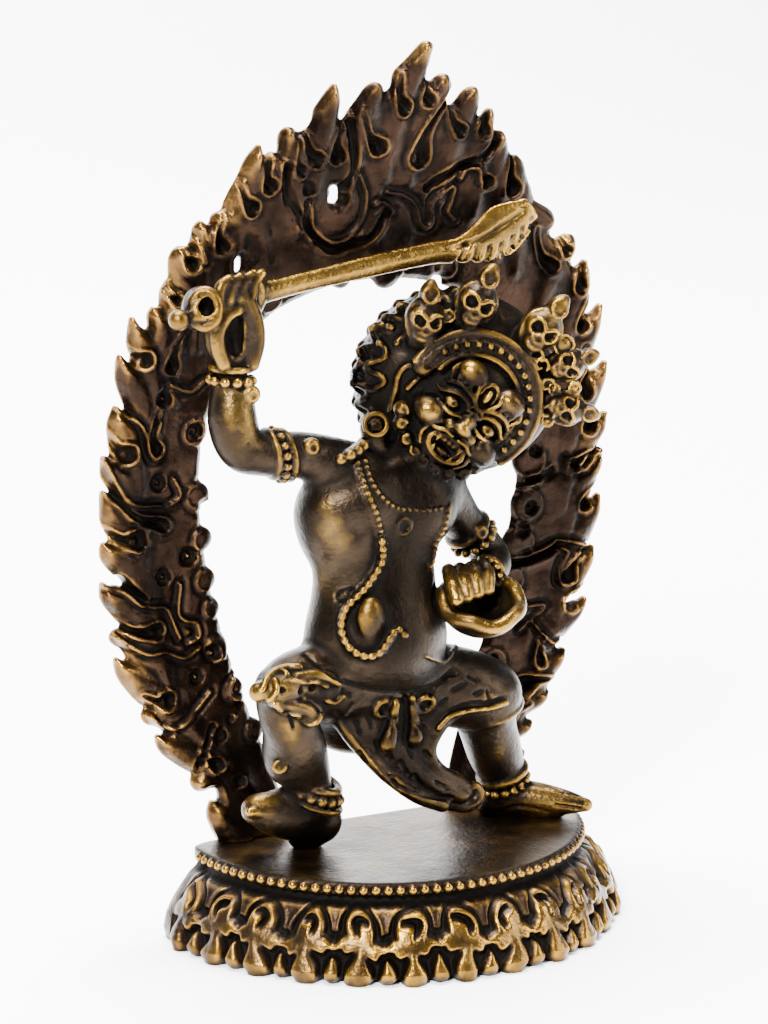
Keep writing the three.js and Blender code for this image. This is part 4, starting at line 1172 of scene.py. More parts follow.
def build_crown(head):
    def arc(radius, y, first, last, thick, count=18):
        turn = np.radians(np.linspace(first, last, count))
        x, z = DIADEM[0] + radius * np.cos(turn), DIADEM[1] + radius * np.sin(turn)
        return with_radius(np.column_stack([x, np.full(count, y), z]), thick)

    head.ball((-0.4, 2.5, 2.2), (9.4, 3.4, 9.2), 0.8)
    for radius, y, first, last, thick, blend, sign in HOOPS:
        head.tube(arc(radius, y, first, last, thick), blend, sign)
    bead_row(head.field, head.placed(arc(6.1, -3.05, 158, -16, 0, 40))[:, :3], 0.4, 1.22)
    for skull in SKULLS:
        build_skull(head, *skull)
    for degrees, radius, size in JEWELS:
        x, y, z = on_diadem(degrees, radius, -1.2)
        head.ball((x, y, z), (size, 1.0, size), 0.1)
        head.tube([(x + size * 1.05 * math.cos(t), -2.0, z + size * 1.05 * math.sin(t), 0.17)
                   for t in np.linspace(0, FULL_TURN, 12)], 0.05)
    for degrees in SWIRLS:
        x, y, z = on_diadem(degrees, 8.2, -2.5)
        head.tube([(x + 0.9 * math.cos(t) * (1 - t / 9), y, z + 0.9 * math.sin(t) * (1 - t / 9), 0.2)
                   for t in np.linspace(0, 1.8 * math.pi, 11)], 0.06)


# Rings of waved locks: distance from the hair's middle, count, thickness.
LOCKS = [(9.15, 30, 0.36), (7.6, 19, 0.34), (5.6, 12, 0.34), (3.2, 7, 0.34)]
# Locks seen before the ear, in pixels.
SIDE_LOCKS = [
    [(380, 343), (387, 350), (384, 359), (369, 363), (368, 369), (381, 375), (385, 382), (373, 389),
     (358, 383)],
    [(391, 409), (396, 390), (399, 375), (407, 366), (420, 365), (427, 371), (416, 380), (408, 388)],
    [(360, 350), (362, 362), (355, 372), (354, 384)],
    [(372, 330), (380, 325), (392, 328)],
    [(397, 344), (404, 336), (416, 332)],
]


def build_hair(head):
    field = head.field
    generator = np.random.default_rng(11)
    for ring, count, size in LOCKS:
        outermost = ring > 9
        for i in range(count):
            turn = FULL_TURN * (i + 0.5 * (ring < 8)) / count
            tangent = np.array([-math.sin(turn), 0, math.cos(turn)])
            outward = np.array([math.cos(turn), 0, math.sin(turn)])
            swing = 0.9 + 0.3 * generator.random()
            for face in (-1, 1) if outermost else (1,):
                wave = []
                for t in np.linspace(-1, 1, 9):
                    reach = ring + 0.6 * math.sin(t * math.pi * swing)
                    depth = 5.1 * math.sqrt(max(0.03, 1 - min(reach / 9.7, 0.99) ** 2))
                    spot = HAIR_MIDDLE + outward * reach + tangent * 1.5 * t + np.array([0, face * depth, 0])
                    wave.append((*spot, size * (1.1 - 0.5 * abs(t))))
                head.tube(wave, 0.12)
    for line in SIDE_LOCKS:
        seen_line(field, line, 0.36, 0.2, 0.12)
    seen_tube(field, [(372, 428), (376, 444), (384, 452)], 4.4, [1.3, 1.3, 1.2], 0.4)
    for disc, facing in field.seen_spots((375, 425), 0.25):
        facing = unit(facing * 0.4 + BACK * 0.6)
        for wide, thick in ((1.15, 0.3), (0.5, 0.2)):
            band(field, disc, facing, wide, wide, thick, 0.06)
        field.ball(disc, 0.3, 0.05)


POMMEL = np.array([-24.0, 3.6, 68.1])
BLADE_Y = 5.5
# The blade's middle line: place, half width, half thickness; its leaf is seen at pixels.
BLADE = [
    (-17.0, 5.15, 69.25, 1.15, 0.8), (-12.0, 5.5, 70.0, 1.05, 0.8), (-4.0, 5.6, 71.15, 1.15, 0.8),
    (3.0, 5.7, 72.0, 1.2, 0.85), (*at_y([(452, 251)], 5.6)[0], 1.3, 0.85),
]
LEAF = [
    ((466, 248), 1.6, 0.85), ((484, 241), 2.35, 0.85), ((501, 231), 2.8, 0.8), ((518, 219), 2.2, 0.75),
    ((531, 208), 1.3, 0.6),
]


def blade_part(a, b):
    """Distance to a stretch of the blade between two stations."""
    along = unit(b[:3] - a[:3])
    across = unit(np.cross((0, -1, 0), along))
    length = np.linalg.norm(b[:3] - a[:3])

    def distance(c):
        off = [c[k] - a[k] for k in range(3)]
        t = np.clip(sum(o * w for o, w in zip(off, along)) / length, 0, 1)
        past = sum(o * w for o, w in zip(off, along)) - t * length
        side = sum(o * w for o, w in zip(off, across))
        deep = off[1] - along[1] * t * length
        wide = a[3] + (b[3] - a[3]) * t
        thick = a[4] + (b[4] - a[4]) * t
        flat = np.sqrt((np.abs(side) / wide) ** 1.6 + (np.abs(deep) / thick) ** 1.6) - 1
        return np.maximum(flat * 0.6, np.abs(past) - 0.12)

    return distance


def build_sword(field):
    field.tube([(-24.8, 3.5, 68.0, 0.9), (-20.0, 4.6, 68.7, 0.85), (-16.0, 5.4, 69.4, 0.85)], 0.2)
    field.ball(POMMEL, (1.9, 1.8, 1.8), 0.2)
    field.ball((-26.6, 3.05, 67.65), (1.1, 1.1, 1.1), 0.1)
    way = unit((2.8, 0.9, 0.6))
    side = unit(np.cross(way, (0, 0, 1)))
    other = np.cross(way, side)
    for turn in np.linspace(0, FULL_TURN, 6, endpoint=False):
        lift = side * math.cos(turn) + other * math.sin(turn)
        field.tube([(*(POMMEL - way * 1.6 + lift * 0.8), 0.25), (*(POMMEL + lift * 1.85), 0.34),
                    (*(POMMEL + way * 1.7 + lift * 1.0), 0.25)], 0.08)
    field.tube([(-17.3, 5.2, 67.2, 0.6), (-17.0, 5.2, 69.3, 1.05), (-17.3, 5.2, 71.3, 0.6)], 0.1)
    stations = spline(BLADE + [(*at_y(pixel, BLADE_Y)[0], wide, thick) for pixel, wide, thick in LEAF])
    for a, b in zip(stations[:-1], stations[1:]):
        low, high = np.minimum(a[:3], b[:3]) - 2.6, np.maximum(a[:3], b[:3]) + 2.6
        field.add(blade_part(a, b), low, high, 0.05)


def build_sword_hand(field):
    field.ball((-19.8, 5.6, 66.4), (2.1, 1.9, 2.3), 0.5)
    field.ball((-19.9, 6.2, 65.0), (2.5, 1.7, 3.0), 0.5)
    field.ball(at_y((244, 335), 5.0)[0], (1.5, 1.3, 2.6), 0.6)
    palm = [(252, 364), (257, 342), (255, 320), (247, 301), (236, 291)]
    seen_tube(field, palm, 4.0, [0.8, 0.85, 0.85, 0.8, 0.65], 0.6)
    thumb = [(224, 364), (218, 348), (218, 332), (226, 318), (237, 312)]
    seen_tube(field, thumb, 3.8, [0.75, 0.8, 0.8, 0.7, 0.6], 0.5)
    for i in range(4):
        knuckle = [(218 + i * 11, 302 - i * 2), (221 + i * 11, 287 - i * 2), (229 + i * 11, 279 - i * 2)]
        seen_tube(field, knuckle, 3.9, [0.66, 0.66, 0.5], 0.12)
    seen_tube(field, [(236, 322), (234, 336), (236, 350)], 3.9, [0.8, 1.0, 0.65], 0.3, -1)
    bulb = at_y((205, 309), 2.6)[0]
    field.ball(bulb + np.array([0.1, 1.5, 0.0]), (1.8, 1.5, 2.1), 0.4)
    field.tube([(*(bulb + RIGHT * 1.3 * math.cos(t) + UP * 1.75 * math.sin(t)), 0.6)
                for t in np.linspace(0, FULL_TURN, 15)], 0.2, 1, 3)
    field.ball(bulb, (0.85, 1.0, 1.2), 0.15, -1)


CUP_MIDDLE = np.array([5.6, -1.0, 35.9])
CUP_TILT = math.radians(27)


def build_cup(field):
    up = unit((-0.1, -math.sin(CUP_TILT), math.cos(CUP_TILT)))
    across = unit(np.cross((0, 1, 0), up))
    ahead = np.cross(up, across)
    basis = np.stack([across, ahead, up], axis=1)
    field.ball(CUP_MIDDLE, (4.4, 4.3, 3.1), 0.15, 1, basis)

    def above(c):
        height = sum((c[k] - CUP_MIDDLE[k]) * up[k] for k in range(3))
        radial = np.sqrt(sum((c[k] - CUP_MIDDLE[k]) ** 2 for k in range(3)))
        return np.maximum(0.2 - height, radial - 5.4)

    field.add(above, CUP_MIDDLE - 5.6, CUP_MIDDLE + 5.6, 0.05, -1)
    field.ball(CUP_MIDDLE + up * 0.9, (3.4, 3.3, 2.7), 0.2, -1, basis)
    rim = []
    for t in np.linspace(0, FULL_TURN, 25):
        wave = 0.3 * math.sin(t * 5 + 0.6)
        place = CUP_MIDDLE + across * 4.1 * math.cos(t) + ahead * 3.95 * math.sin(t) + up * (0.3 + wave)
        rim.append((*place, 0.8))
    field.tube(rim, 0.15, 1, 2)
    field.ball((5.0, 0.2, 37.9), (2.9, 2.1, 1.9), 0.4)
    for i in range(4):
        field.tube([(7.0 - i * 1.35, 1.2, 39.2, 0.8), (6.2 - i * 1.35, -1.2, 39.0 - i * 0.3, 0.85),
                    (5.7 - i * 1.2, -2.3, 37.7 - i * 0.25, 0.75)], 0.12)
    field.tube([(8.8, 2.2, 37.4, 1.0), (8.6, 0.8, 36.0, 0.8), (8.0, 0.0, 34.6, 0.7)], 0.3)


UPPER_ARM, FOREARM = (1, 0, 0.12), (0.05, 0, 1)
CUP_ELBOW, CUP_WRIST = (0.62, 0.1, -0.78), (0.75, 0.65, -0.1)
BENT_ANKLE, FAR_ANKLE = (0.31, -0.22, 0.93), (-0.34, -0.12, 0.93)
# Bracelets and anklets: middle, axis, half width, half depth, thickness, and the beads of a beaded one.
RINGS = [
    ((-15.9, 4.8, 52.75), UPPER_ARM, 2.45, 2.45, 0.38, 0), ((-14.2, 4.8, 52.5), UPPER_ARM, 2.5, 2.5, 0.42, 0),
    ((-15.1, 4.8, 52.6), UPPER_ARM, 2.6, 2.6, 0.5, 15),
    ((-19.9, 5.35, 61.9), FOREARM, 1.9, 1.9, 0.42, 0), ((-19.9, 5.3, 60.7), FOREARM, 2.15, 2.15, 0.55, 11),
    ((8.0, 6.4, 42.1), CUP_ELBOW, 2.35, 2.35, 0.4, 0), ((8.8, 6.4, 41.1), CUP_ELBOW, 2.4, 2.4, 0.5, 13),
    ((8.0, 2.0, 38.1), CUP_WRIST, 1.75, 1.75, 0.35, 0), ((7.3, 1.5, 38.2), CUP_WRIST, 1.75, 1.75, 0.42, 11),
    (at_y((314, 781), 4.1)[0], BENT_ANKLE, 2.75, 2.6, 0.5, 0),
    (at_y((316, 801), 4.3)[0], BENT_ANKLE, 2.7, 2.5, 0.4, 0),
    (at_y((315, 791), 4.2)[0], BENT_ANKLE, 2.75, 2.6, 0.62, 15),
    ((12.5, 6.5, 14.7), FAR_ANKLE, 2.55, 2.55, 0.45, 0), ((12.8, 6.6, 13.5), FAR_ANKLE, 2.55, 2.55, 0.5, 15),
]
STUDS = [(-12.2, 2.7, 53.5), (8.3, 4.2, 42.2), (-18.6, 3.3, 59.4)]
CHEST_STRAP = [(357, 463), (363, 481), (369, 497), (375, 512), (379, 526), (382, 542)]
BELLY_STRAP = [
    (382, 542), (383, 559), (375, 575), (363, 591), (346, 608), (341, 624), (344, 640), (354, 652),
    (369, 657), (381, 652), (389, 640), (397, 630), (404, 634),
]
STRAP_EDGE = [
    (354, 466), (361, 486), (367, 502), (373, 520), (377, 536), (377, 556), (369, 574), (355, 590),
    (338, 610),
]
NECKLACE = [(365, 461), (373, 485), (385, 500), (397, 508), (414, 510), (426, 510), (440, 508)]
FAR_STRAP = [(448, 508), (444, 526), (436, 542), (432, 559), (430, 566)]


def build_jewellery(field):
    for middle, axis, wide, deep, thick, beads in RINGS:
        if beads:
            for spot in ring_points(middle, axis, wide, deep, beads):
                field.ball(spot, thick, 0.04)
        else:
            band(field, middle, axis, wide, deep, thick)
    for x, y, z in STUDS:
        field.ball((x, y, z), (1.0, 0.75, 1.0), 0.1)
        field.ball((x, y - 0.75, z), (0.45, 0.35, 0.45), 0.03, -1)
    seen_beads(field, CHEST_STRAP, 0.36, 0.7, 0.1)
    seen_line(field, BELLY_STRAP, 0.42, 0.1, 0.06)
    seen_beads(field, BELLY_STRAP, 0.44, 0.86, 0.32)
    seen_line(field, STRAP_EDGE, 0.18, 0.05)
    seen_beads(field, NECKLACE, 0.3, 0.72, 0.1)
    seen_beads(field, FAR_STRAP, 0.38, 0.7, 0.1)
    seen_line(field, [(345, 456), (352, 452), (360, 446), (366, 440)], 0.55, 0.2)
    seen_beads(field, [(343, 458), (352, 453), (361, 446)], 0.62, 1.2, 0.3)
    for medal, facing in field.seen_spots((403, 526), 0.1):
        band(field, medal, facing, 0.85, 0.85, 0.25, 0.05)
    for rosette, _ in field.seen_spots((280, 766), 0.1):
        field.ball(rosette, 0.7, 0.3)
        band(field, rosette + 0.5 * BACK, BACK, 0.6, 0.6, 0.22, 0.05)
    for boss, _ in field.seen_spots((371, 620)):
        field.ball(boss, (1.55, 1.2, 2.5), 0.15)


# The hanging flap from its top to its tip: left x and z, right x and z.
FLAP_ROWS = [
    (-10.4, 27.9, 9.6, 25.0), (-9.6, 25.2, 3.8, 23.6), (-8.1, 22.5, 1.3, 21.2), (-5.6, 19.5, 1.0, 19.3),
    (-3.4, 17.3, 2.4, 17.3), (-0.6, 15.1, 4.6, 15.9), (2.4, 13.7, 6.0, 14.6),
]
FLAP_Y = 1.9
# Tassels, in pixels: middle of the loop, start, middle and end of the tail.
TASSELS = [
    ((381, 707), [(393, 699), (389.5, 724.5), (386, 742)]),
    ((424, 703), [(410, 695), (412, 719.5), (412, 736)]),
]
# Spots and dashes of the tiger skin, in pixels.
SKIN_MARKS = [
    ((432, 688), (430, 696)), ((452, 690), (462, 684)), ((474, 694), (482, 690)), ((446, 676), (455, 673)),
    ((356, 722), (360, 733)), ((368, 716), (371, 726)), ((401, 762), (406, 774)), ((414, 776), (420, 786)),
    ((388, 752), (391, 760)), ((424, 752), (430, 758)), ((396, 720), (398, 728)), ((352, 705), (346, 714)),
    ((406, 690), (404, 700)), ((342, 690), (350, 696)), ((440, 704), (446, 700)), ((418, 724), (424, 728)),
    ((436, 782), (446, 788)), ((392, 776), (398, 788)), ((468, 676), (476, 680)), ((487, 690), (490, 700)),
    ((408, 748), (412, 756)), ((376, 742), (380, 752)), ((290, 716), (293, 728)), ((360, 752), (366, 762)),
]
# Hems and folds: pixels, radius, lift, blend, sign.
FOLDS = [
    ([(336, 712), (352, 732), (366, 750), (384, 772), (402, 788), (430, 797), (452, 798)], 0.2, 0.0, 0.1, -1),
    ([(505, 702), (488, 707), (470, 709), (450, 716), (438, 728)], 0.32, 0.25, 0.08, 1),
    ([(505, 697), (488, 702), (470, 703), (450, 710)], 0.18, 0.0, 0.1, -1),
    ([(306, 655), (330, 674), (360, 687), (395, 692), (430, 687), (452, 670)], 0.25, 0.0, 0.2, -1),
    ([(425, 656), (436, 660), (443, 662), (450, 655), (457, 642)], 0.2, 0.08, 0.08, 1),
]


def build_skirt(field):
    part = np.linspace(0, 1, 14)
    sheet = []
    for x0, z0, x1, z1 in spline(FLAP_ROWS, 4):
        fold = 0.35 * np.cos(part * 3 * math.pi + z0 * 0.25)
        sheet.append(np.column_stack([x0 + (x1 - x0) * part, FLAP_Y + fold, z0 + (z1 - z0) * part]))
    for row in sheet:
        field.stroke(with_radius(row, 0.8), 0.4)
    for end, first, radius in ((0, 0, 0.7), (-1, 4, 0.62)):
        hem = np.array([row[end] for row in sheet[first:]]) - (0, 0.3, 0)
        field.tube(with_radius(hem, radius), 0.15, 1, 2)
    field.tube([(3.6, 1.8, 13.5, 0.7), (5.6, 1.7, 13.1, 0.75), (6.9, 1.7, 13.9, 0.7), (6.6, 1.7, 15.1, 0.6),
                (5.6, 1.7, 15.0, 0.5)], 0.1)
    field.tube([(-9.5, 3.0, 29.6, 3.3), (-14.2, 2.0, 29.6, 2.9), (-16.6, 1.6, 28.9, 2.5)], 0.6)
    field.tube([(2.0, 4.6, 27.4, 3.7), (7.2, 4.5, 25.4, 3.9), (9.4, 4.7, 24.2, 3.9)], 0.6)
    field.ball((-4.2, 6.8, 24.6), (7.4, 3.8, 5.6), 1.0)
    band(field, (9.9, 5.0, 22.5), (0.3, 0.1, -0.95), 3.55, 3.5, 0.42)
    for middle, line in TASSELS:
        for loop, facing in field.seen_spots(middle, 0.25):
            band(field, loop, facing, 0.85, 1.0, 0.4, 0.05)
        tail = field.seen(spline(line, 5), 0.4)
        field.tube(with_radius(tail, np.linspace(0.38, 0.95, len(tail))), 0.06, 1, 1)
        field.ball(tail[-1], (0.85, 0.7, 1.25), 0.1)


def carve_skirt(field):
    for mark in SKIN_MARKS:
        seen_line(field, mark, 0.24, 0.0, 0.1, -1, 4)
    for pixels, *how in FOLDS:
        seen_line(field, pixels, *how)


# Raised lines of the tiger's mask and paws: pixels, radius, lift.
TIGER_LINES = [
    ([(262, 690), (270, 676), (284, 668), (300, 667)], 0.35, 0.15),
    ([(270, 700), (277, 690), (275, 681)], 0.32, 0.15),
    ([(284, 672), (292, 680), (304, 682), (314, 680), (326, 686)], 0.3, 0.15),
    ([(275, 704), (285, 712), (298, 714), (306, 722), (316, 722), (320, 712), (312, 702), (302, 698)],
     0.3, 0.12),
    ([(326, 700), (334, 702), (344, 694)], 0.3, 0.15),
]
TIGER_PITS = [(290, 676), (312, 688), (283, 690), (301, 691)]


def build_tiger(field):
    field.ball((-17.0, 0.4, 29.2), (2.7, 2.2, 1.8), 0.5)
    field.ball((-19.5, 0.0, 29.2), (1.1, 1.1, 1.1), 0.2)
    field.tube([(-18.3, -0.8, 28.3, 0.7), (-16.4, -1.2, 27.7, 0.75), (-14.8, -1.2, 27.0, 0.8),
                (-13.9, -1.0, 26.0, 0.75)], 0.15)
    field.tube([(-15.6, -0.7, 30.6, 0.5), (-13.0, -0.9, 30.4, 0.65), (-11.0, -0.8, 29.4, 0.55)], 0.15)
    for pixels, radius, lift in TIGER_LINES:
        seen_line(field, pixels, radius, lift)
    for pixel in TIGER_PITS:
        for pit, _ in field.seen_spots(pixel):
            field.ball(pit, 0.42, 0.1, -1)


TOE_GAPS = [((563, 792), (586, 797)), ((558, 798), (584, 803)), ((555, 805), (580, 808))]
# Shallow folds of the foot and the side: pixels, radius, lift, blend.
BODY_FOLDS = [
    ([(515, 790), (530, 784), (548, 786), (560, 790)], 0.2, 0.02, 0.15),
    ([(497, 812), (520, 806), (548, 812)], 0.2, 0.02, 0.15),
    ([(352, 588), (338, 592), (338, 600), (346, 600)], 0.14, 0.0, 0.2),
]
# Feather cuts along the lower edge of the blade, and its middle groove, in pixels.
FEATHERS = [(458, 262), (470, 265), (482, 266), (494, 263), (505, 256), (515, 247), (524, 237), (532, 227)]
BLADE_GROOVE = [(458, 247), (482, 238), (504, 224), (522, 212)]


def carve_body(field):
    for gap in TOE_GAPS:
        seen_line(field, gap, 0.16, 0.0, 0.1, -1)
    for pixels, *how in BODY_FOLDS:
        seen_line(field, pixels, *how, -1)
    for u, v in FEATHERS:
        seen_line(field, [(u, v), (u + 6, v - 9), (u + 8, v - 19)], 0.3, 0.0, 0.1, -1, 4)
        edge = at_y((u, v), 5.0)[0]
        field.tube([(*(edge - (0, 1.2, 0)), 0.24), (*(edge + (0, 1.6, 0)), 0.24)], 0.15, -1)
    seen_line(field, BLADE_GROOVE, 0.26, 0.0, 0.1, -1)


# Places rubbed bright (positive) or made dull (negative): pixel, reach in millimetres, amount. Some are
# painted light: a painted highlight down the lit left flank, and painted shade on the neck and chest where
# they lie in shadow.
WEAR_AND_PAINTED_LIGHT = [
    # (325, 503), (331, 525), (337, 550) and (322, 585) run down the lit left flank: a painted highlight.
    ((474, 405), 4.6, -1.0), ((442, 395), 3.0, -0.5), ((325, 503), 1.8, 0.5), ((331, 525), 1.9, 0.6),
    ((337, 550), 1.9, 0.5), ((322, 585), 3.0, 0.3), ((234, 398), 2.6, 0.8), ((248, 436), 2.2, 0.6),
    ((320, 455), 2.6, 0.4), ((292, 735), 2.2, 0.3), ((300, 758), 1.8, 0.2), ((497, 748), 2.6, 0.5),
    ((372, 618), 2.0, 0.7), ((545, 797), 4.5, 0.8), ((262, 800), 3.2, 0.8), ((262, 694), 2.4, 0.8),
    ((290, 690), 4.0, 0.4), ((470, 575), 4.0, 1.0), ((440, 600), 3.0, 1.0), ((500, 630), 3.0, 1.0),
    ((523, 598), 3.0, 1.0), ((467, 366), 1.3, 2.0), ((485, 395), 0.9, 1.8), ((506, 400), 1.3, 1.4),
    ((433, 410), 1.5, 1.9), ((466, 425), 1.0, 1.8), ((482, 440), 1.1, 1.2), ((450, 399), 0.9, 1.6),
    ((225, 315), 4.5, 0.6), ((537, 325), 3.0, 0.8), ((556, 303), 1.6, 0.8), ((565, 335), 2.0, 0.7),
    ((419, 311), 2.0, 0.5), ((474, 297), 2.2, 0.7), ((575, 385), 1.6, 0.8), ((403, 560), 4.2, -1.0),
    # (420, 490), (425, 480) and (445, 443) darken the neck and chest where they lie in shadow: painted shade.
    ((410, 600), 4.0, -1.0), ((400, 650), 3.4, -0.8), ((420, 490), 4.0, -0.9), ((385, 480), 2.5, -0.6),
    ((370, 360), 4.0, -0.8), ((360, 400), 4.0, -0.9), ((395, 430), 3.0, -1.0), ((425, 480), 3.0, -1.0),
    ((460, 480), 3.0, -1.0), ((445, 443), 2.4, -1.0), ((375, 425), 1.6, -0.9), ((400, 740), 5.0, -0.8),
    ((450, 680), 4.5, -0.6), ((420, 780), 3.0, -0.6), ((340, 700), 3.0, -0.5), ((310, 825), 3.0, -0.8),
    ((450, 350), 2.6, -0.7), ((500, 460), 3.0, -0.8), ((470, 530), 3.2, -0.6),
]


# Wear together with the painted highlight and painted shade of the table above; the sword is always bright,
# and the figure turns duller towards the back.
def wear_and_painted_light_of(field, places):
    total = np.zeros(len(places))
    for pixel, reach, amount in WEAR_AND_PAINTED_LIGHT:
        for spot in field.seen([pixel]):
            gap = ((places - spot) ** 2).sum(1)
            total += amount * np.exp(-gap / (2 * (0.62 * reach) ** 2))
    x, y, z = places.T
    sword = (z > 66.5) & (x > -17.5) & (y > 3.0) & (z > 69.0 + 0.07 * (x + 17.0) - 1.6)
    return np.where(sword, 1.0, total - 0.8 * smoothstep(y, 5.5, 9.5))


def make_figure():
    field = Field(FIGURE_LOW, FIGURE_HIGH, FIGURE_PITCH)
    head = Head(field)
    build_torso(field)
    build_limbs(field)
    build_skirt(field)
    build_head(head, [Head(field, side) for side in (-1, 1)])
    build_beard(head)
    build_hair(head)
    build_crown(head)
    build_sword(field)
    build_sword_hand(field)
    build_cup(field)
    build_tiger(field)
    build_jewellery(field)
    carve_skirt(field)
    carve_body(field)
    z = field.block(FIGURE_LOW, FIGURE_HIGH)[1][2]
    field.values = np.maximum(field.values, BASE_TOP - z)
    piece = new_piece("deity_figure_cast", *skin(field), 195000)
    places = places_of(piece)
    # The polish attribute holds wear together with a painted highlight on the lit left flank and painted
    # shade on the neck and chest.
    set_attribute(piece, "polish_and_painted_light", wear_and_painted_light_of(field, places))
    mark_hollows(piece, field, places, (0.45, 1.1, 2.6))
    return piece


# Materials

DARK = (0.0032, 0.0026, 0.0022)
METAL = 0.95
SPECULAR = 0.03
# Scale, detail and roughness of the noises, in turns per metre.
CLOUD = (300.0, 5.0, 0.62)
PATCHES = (110.0, 3.0, 0.55)
GRAIN = (1900.0, 4.0, 0.6)
# Colours of each casting, how readily it is rubbed bright, and the least and the polished spread of that.
FINISHES = {
    "base_brass": dict(
        body=(0.017, 0.0102, 0.0062), bright=(0.235, 0.12, 0.015), tint=(0.034, 0.0215, 0.0135),
        olive=(0.075, 0.043, 0.014), rub=-0.01, spread=(0.42, 0.7),
    ),
    "aureole_brass": dict(
        body=(0.0105, 0.0062, 0.0042), bright=(0.19, 0.096, 0.024), tint=(0.020, 0.0108, 0.0068),
        olive=(0.09, 0.048, 0.015), rub=-0.03, spread=(0.14, 1.15),
    ),
    "figure_brass": dict(
        body=(0.0145, 0.0100, 0.0068), bright=(0.245, 0.13, 0.018), tint=(0.027, 0.0182, 0.0112),
        olive=(0.105, 0.064, 0.018), rub=-0.01, spread=(0.6, 0.45),
    ),
}


def patina(name, body, bright, tint, olive, rub, spread):
    """Old cast brass: near black in the hollows, brown on the faces, rubbed bright on what stands out;
    through the polish attribute the figure also gets a painted highlight and painted shade in its colour.
    """
    material = bpy.data.materials.new(name)
    material.use_nodes = True
    tree = material.node_tree
    tree.nodes.clear()

    def node(kind, values=None, **settings):
        """A node with its settings, and its inputs set to numbers or linked to sockets."""
        made = tree.nodes.new(kind)
        for key, value in settings.items():
            setattr(made, key, value)
        for key, value in (values or {}).items():
            if isinstance(value, bpy.types.NodeSocket):
                tree.links.new(value, made.inputs[key])
            else:
                made.inputs[key].default_value = value
        return made

    def maths(operation, *values, clamp=False):
        made = node("ShaderNodeMath", dict(enumerate(values)), operation=operation, use_clamp=clamp)
        return made.outputs[0]

    def plus(value, factor, base):
        """The base with the value added so many times."""
        return maths("MULTIPLY_ADD", value, factor, base)

    def centred(value):
        return maths("SUBTRACT", value, 0.5)

    def noise(scale, detail, roughness):
        values = {"Vector": coordinates, "Scale": scale, "Detail": detail, "Roughness": roughness}
        return node("ShaderNodeTexNoise", values).outputs["Fac"]

    def mix(factor, a, b):
        a, b = ((*v, 1.0) if isinstance(v, tuple) else v for v in (a, b))
        return node("ShaderNodeMix", {"Factor": factor, "A": a, "B": b}, data_type="RGBA").outputs["Result"]

    def span(value, low, high):
        values = {"Value": value, "From Min": low, "From Max": high}
        return node("ShaderNodeMapRange", values, interpolation_type="SMOOTHSTEP").outputs["Result"]

    coordinates = node("ShaderNodeTexCoord").outputs["Object"]
    fine, middle, broad, polish_and_painted_light = (
        node("ShaderNodeAttribute", attribute_name=label).outputs["Fac"]
        for label in ("fine", "middle", "broad", "polish_and_painted_light")
    )
    cloud, patches, grain = (noise(*kind) for kind in (CLOUD, PATCHES, GRAIN))

    raised = plus(centred(middle), -0.6, maths("SUBTRACT", 0.5, fine))
    raised = plus(centred(cloud), 0.16, raised)
    raised = maths("ADD", raised, plus(polish_and_painted_light, 0.06, rub))
    # Polish raises how much is rubbed bright; on the figure it also holds a painted highlight and painted
    # shade.
    touched_and_painted_light = plus(centred(patches), 1.6, spread[0])
    touched_and_painted_light = maths("MULTIPLY_ADD", polish_and_painted_light, spread[1], touched_and_painted_light, clamp=True)
    worn_and_painted_light = maths("MULTIPLY", span(raised, 0.04, 0.26), touched_and_painted_light)
    sunk = maths("ADD", centred(fine), centred(middle))
    sunk = plus(centred(broad), 0.55, sunk)
    hollow = span(sunk, -0.02, 0.17)
    blotches_and_painted_light = plus(centred(cloud), 1.5, polish_and_painted_light)
    bare_and_painted_light = span(plus(centred(patches), 1.6, blotches_and_painted_light), 0.25, 1.2)

    colour = mix(span(patches, 0.35, 0.68), body, tint)
    colour = mix(span(cloud, 0.35, 0.7), colour, tuple(c * 0.45 for c in body))
    # Where polish is below zero the colour goes dark; on the figure's neck and chest this is painted shade.
    colour = mix(span(blotches_and_painted_light, -1.0, 0.1), tuple(c * 0.35 for c in body), colour)
    colour = mix(bare_and_painted_light, colour, olive)
    # Rubbed places take the bright colour; down the figure's lit left flank this is a painted highlight.
    colour = mix(worn_and_painted_light, colour, bright)
    colour = mix(hollow, colour, DARK)
    rough = plus(worn_and_painted_light, -0.1, 0.36)
    rough = plus(hollow, 0.25, rough)
    rough = plus(bare_and_painted_light, -0.08, rough)
    rough = plus(centred(cloud), 0.4, rough)
    bump = node("ShaderNodeBump", {"Strength": 0.6, "Distance": 0.00012, "Height": plus(cloud, 2.4, grain)})
    shader = node("ShaderNodeBsdfPrincipled", {
        "Base Color": colour, "Metallic": plus(hollow, -0.3, METAL), "Roughness": rough,
        "Specular IOR Level": SPECULAR, "Normal": bump.outputs["Normal"],
    })
    node("ShaderNodeOutputMaterial", {"Surface": shader.outputs["BSDF"]})
    return material


def dress(piece, node_name, slot_name):
    piece.data.materials.clear()
    piece.data.materials.append(patina(slot_name.replace("brass", "patina"), **FINISHES[slot_name]))
    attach(piece, "root")
    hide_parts(node_name)


# Stage, in metres

FLOOR_HALF_WIDTH = 1.6
FLOOR_PROFILE = [(-1.2, 0.0), (0.3, 0.0), (0.6, 0.0), (0.8, 0.05), (0.95, 0.2), (1.0, 0.45), (1.0, 1.6)]
FLOOR_GAP = 0.00002
MIDDLE = (0, 0.008, 0.045)
# Lights: place, target, width and height, watts.
LIGHTS = {
    "key": ((-0.5, -0.5, 0.55), MIDDLE, (0.2, 0.2), 32.0),
    "fill": ((0.55, -0.45, 0.3), MIDDLE, (0.15, 0.5), 9.0),
    "top": ((0.0, 0.05, 0.8), MIDDLE, (0.35, 0.25), 26.0),
    "backdrop": ((0.0, 0.3, 0.9), (0.0, 0.75, 0.2), (0.8, 0.4), 64.0),
}
WORLD_STRENGTH = 0.34


def new_object(name, data):
    made = bpy.data.objects.new(name, data)
    bpy.context.scene.collection.objects.link(made)
    return made


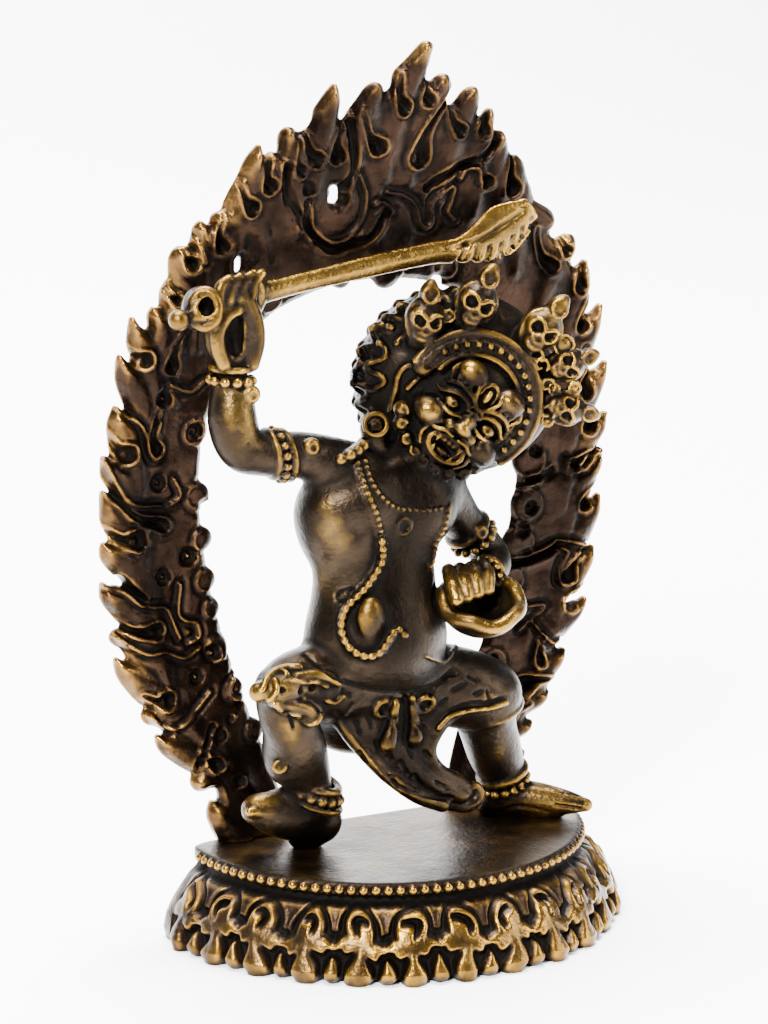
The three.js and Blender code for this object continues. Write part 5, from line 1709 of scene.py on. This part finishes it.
def make_floor():
    """A pale sweep: flat under the object, rising far behind it."""
    across = np.linspace(-FLOOR_HALF_WIDTH, FLOOR_HALF_WIDTH, 9)
    rows = len(FLOOR_PROFILE)
    faces = [
        (i * rows + j, (i + 1) * rows + j, (i + 1) * rows + j + 1, i * rows + j + 1)
        for i in range(len(across) - 1) for j in range(rows - 1)
    ]
    mesh = bpy.data.meshes.new("floor")
    mesh.from_pydata([(x, y, z) for x in across for y, z in FLOOR_PROFILE], [], faces)
    mesh.polygons.foreach_set("use_smooth", np.ones(len(mesh.polygons), bool))
    floor = new_object("floor", mesh)
    rounded = floor.modifiers.new("smooth", "SUBSURF")
    rounded.levels = rounded.render_levels = 2
    floor.location = (0, 0, -FLOOR_GAP)
    material = bpy.data.materials.new("pale_floor")
    material.use_nodes = True
    shader = material.node_tree.nodes["Principled BSDF"]
    shader.inputs["Base Color"].default_value = (0.97, 0.97, 0.97, 1.0)
    shader.inputs["Roughness"].default_value = 0.6
    mesh.materials.append(material)


def make_light(name, place, target, size, power):
    data = bpy.data.lights.new(name, "AREA")
    data.shape = "RECTANGLE"
    data.size, data.size_y = size
    data.energy = power
    light = new_object(name, data)
    light.location = place
    light.rotation_euler = (Vector(target) - Vector(place)).to_track_quat("-Z", "Y").to_euler()


def make_camera():
    data = bpy.data.cameras.new("camera")
    data.sensor_fit = "AUTO"
    data.sensor_width = 36.0
    data.lens = FOCAL / HEIGHT * data.sensor_width
    data.clip_start = 0.01
    data.clip_end = 10.0
    camera = new_object("camera", data)
    turn = Matrix(np.stack([RIGHT, UP, BACK], axis=1).tolist())
    camera.matrix_world = Matrix.Translation(Vector(EYE * MM)) @ turn.to_4x4()
    bpy.context.scene.camera = camera


def make_world():
    world = bpy.data.worlds.new("studio")
    world.use_nodes = True
    background = world.node_tree.nodes["Background"]
    background.inputs["Color"].default_value = (1, 1, 1, 1)
    background.inputs["Strength"].default_value = WORLD_STRENGTH
    bpy.context.scene.world = world


make_camera()
make_floor()
for name, light in LIGHTS.items():
    make_light(name, *light)
make_world()
dress(make_base(), "lotus_base", "base_brass")
dress(make_aureole(), "flame_aureole", "aureole_brass")
dress(make_figure(), "figure", "figure_brass")
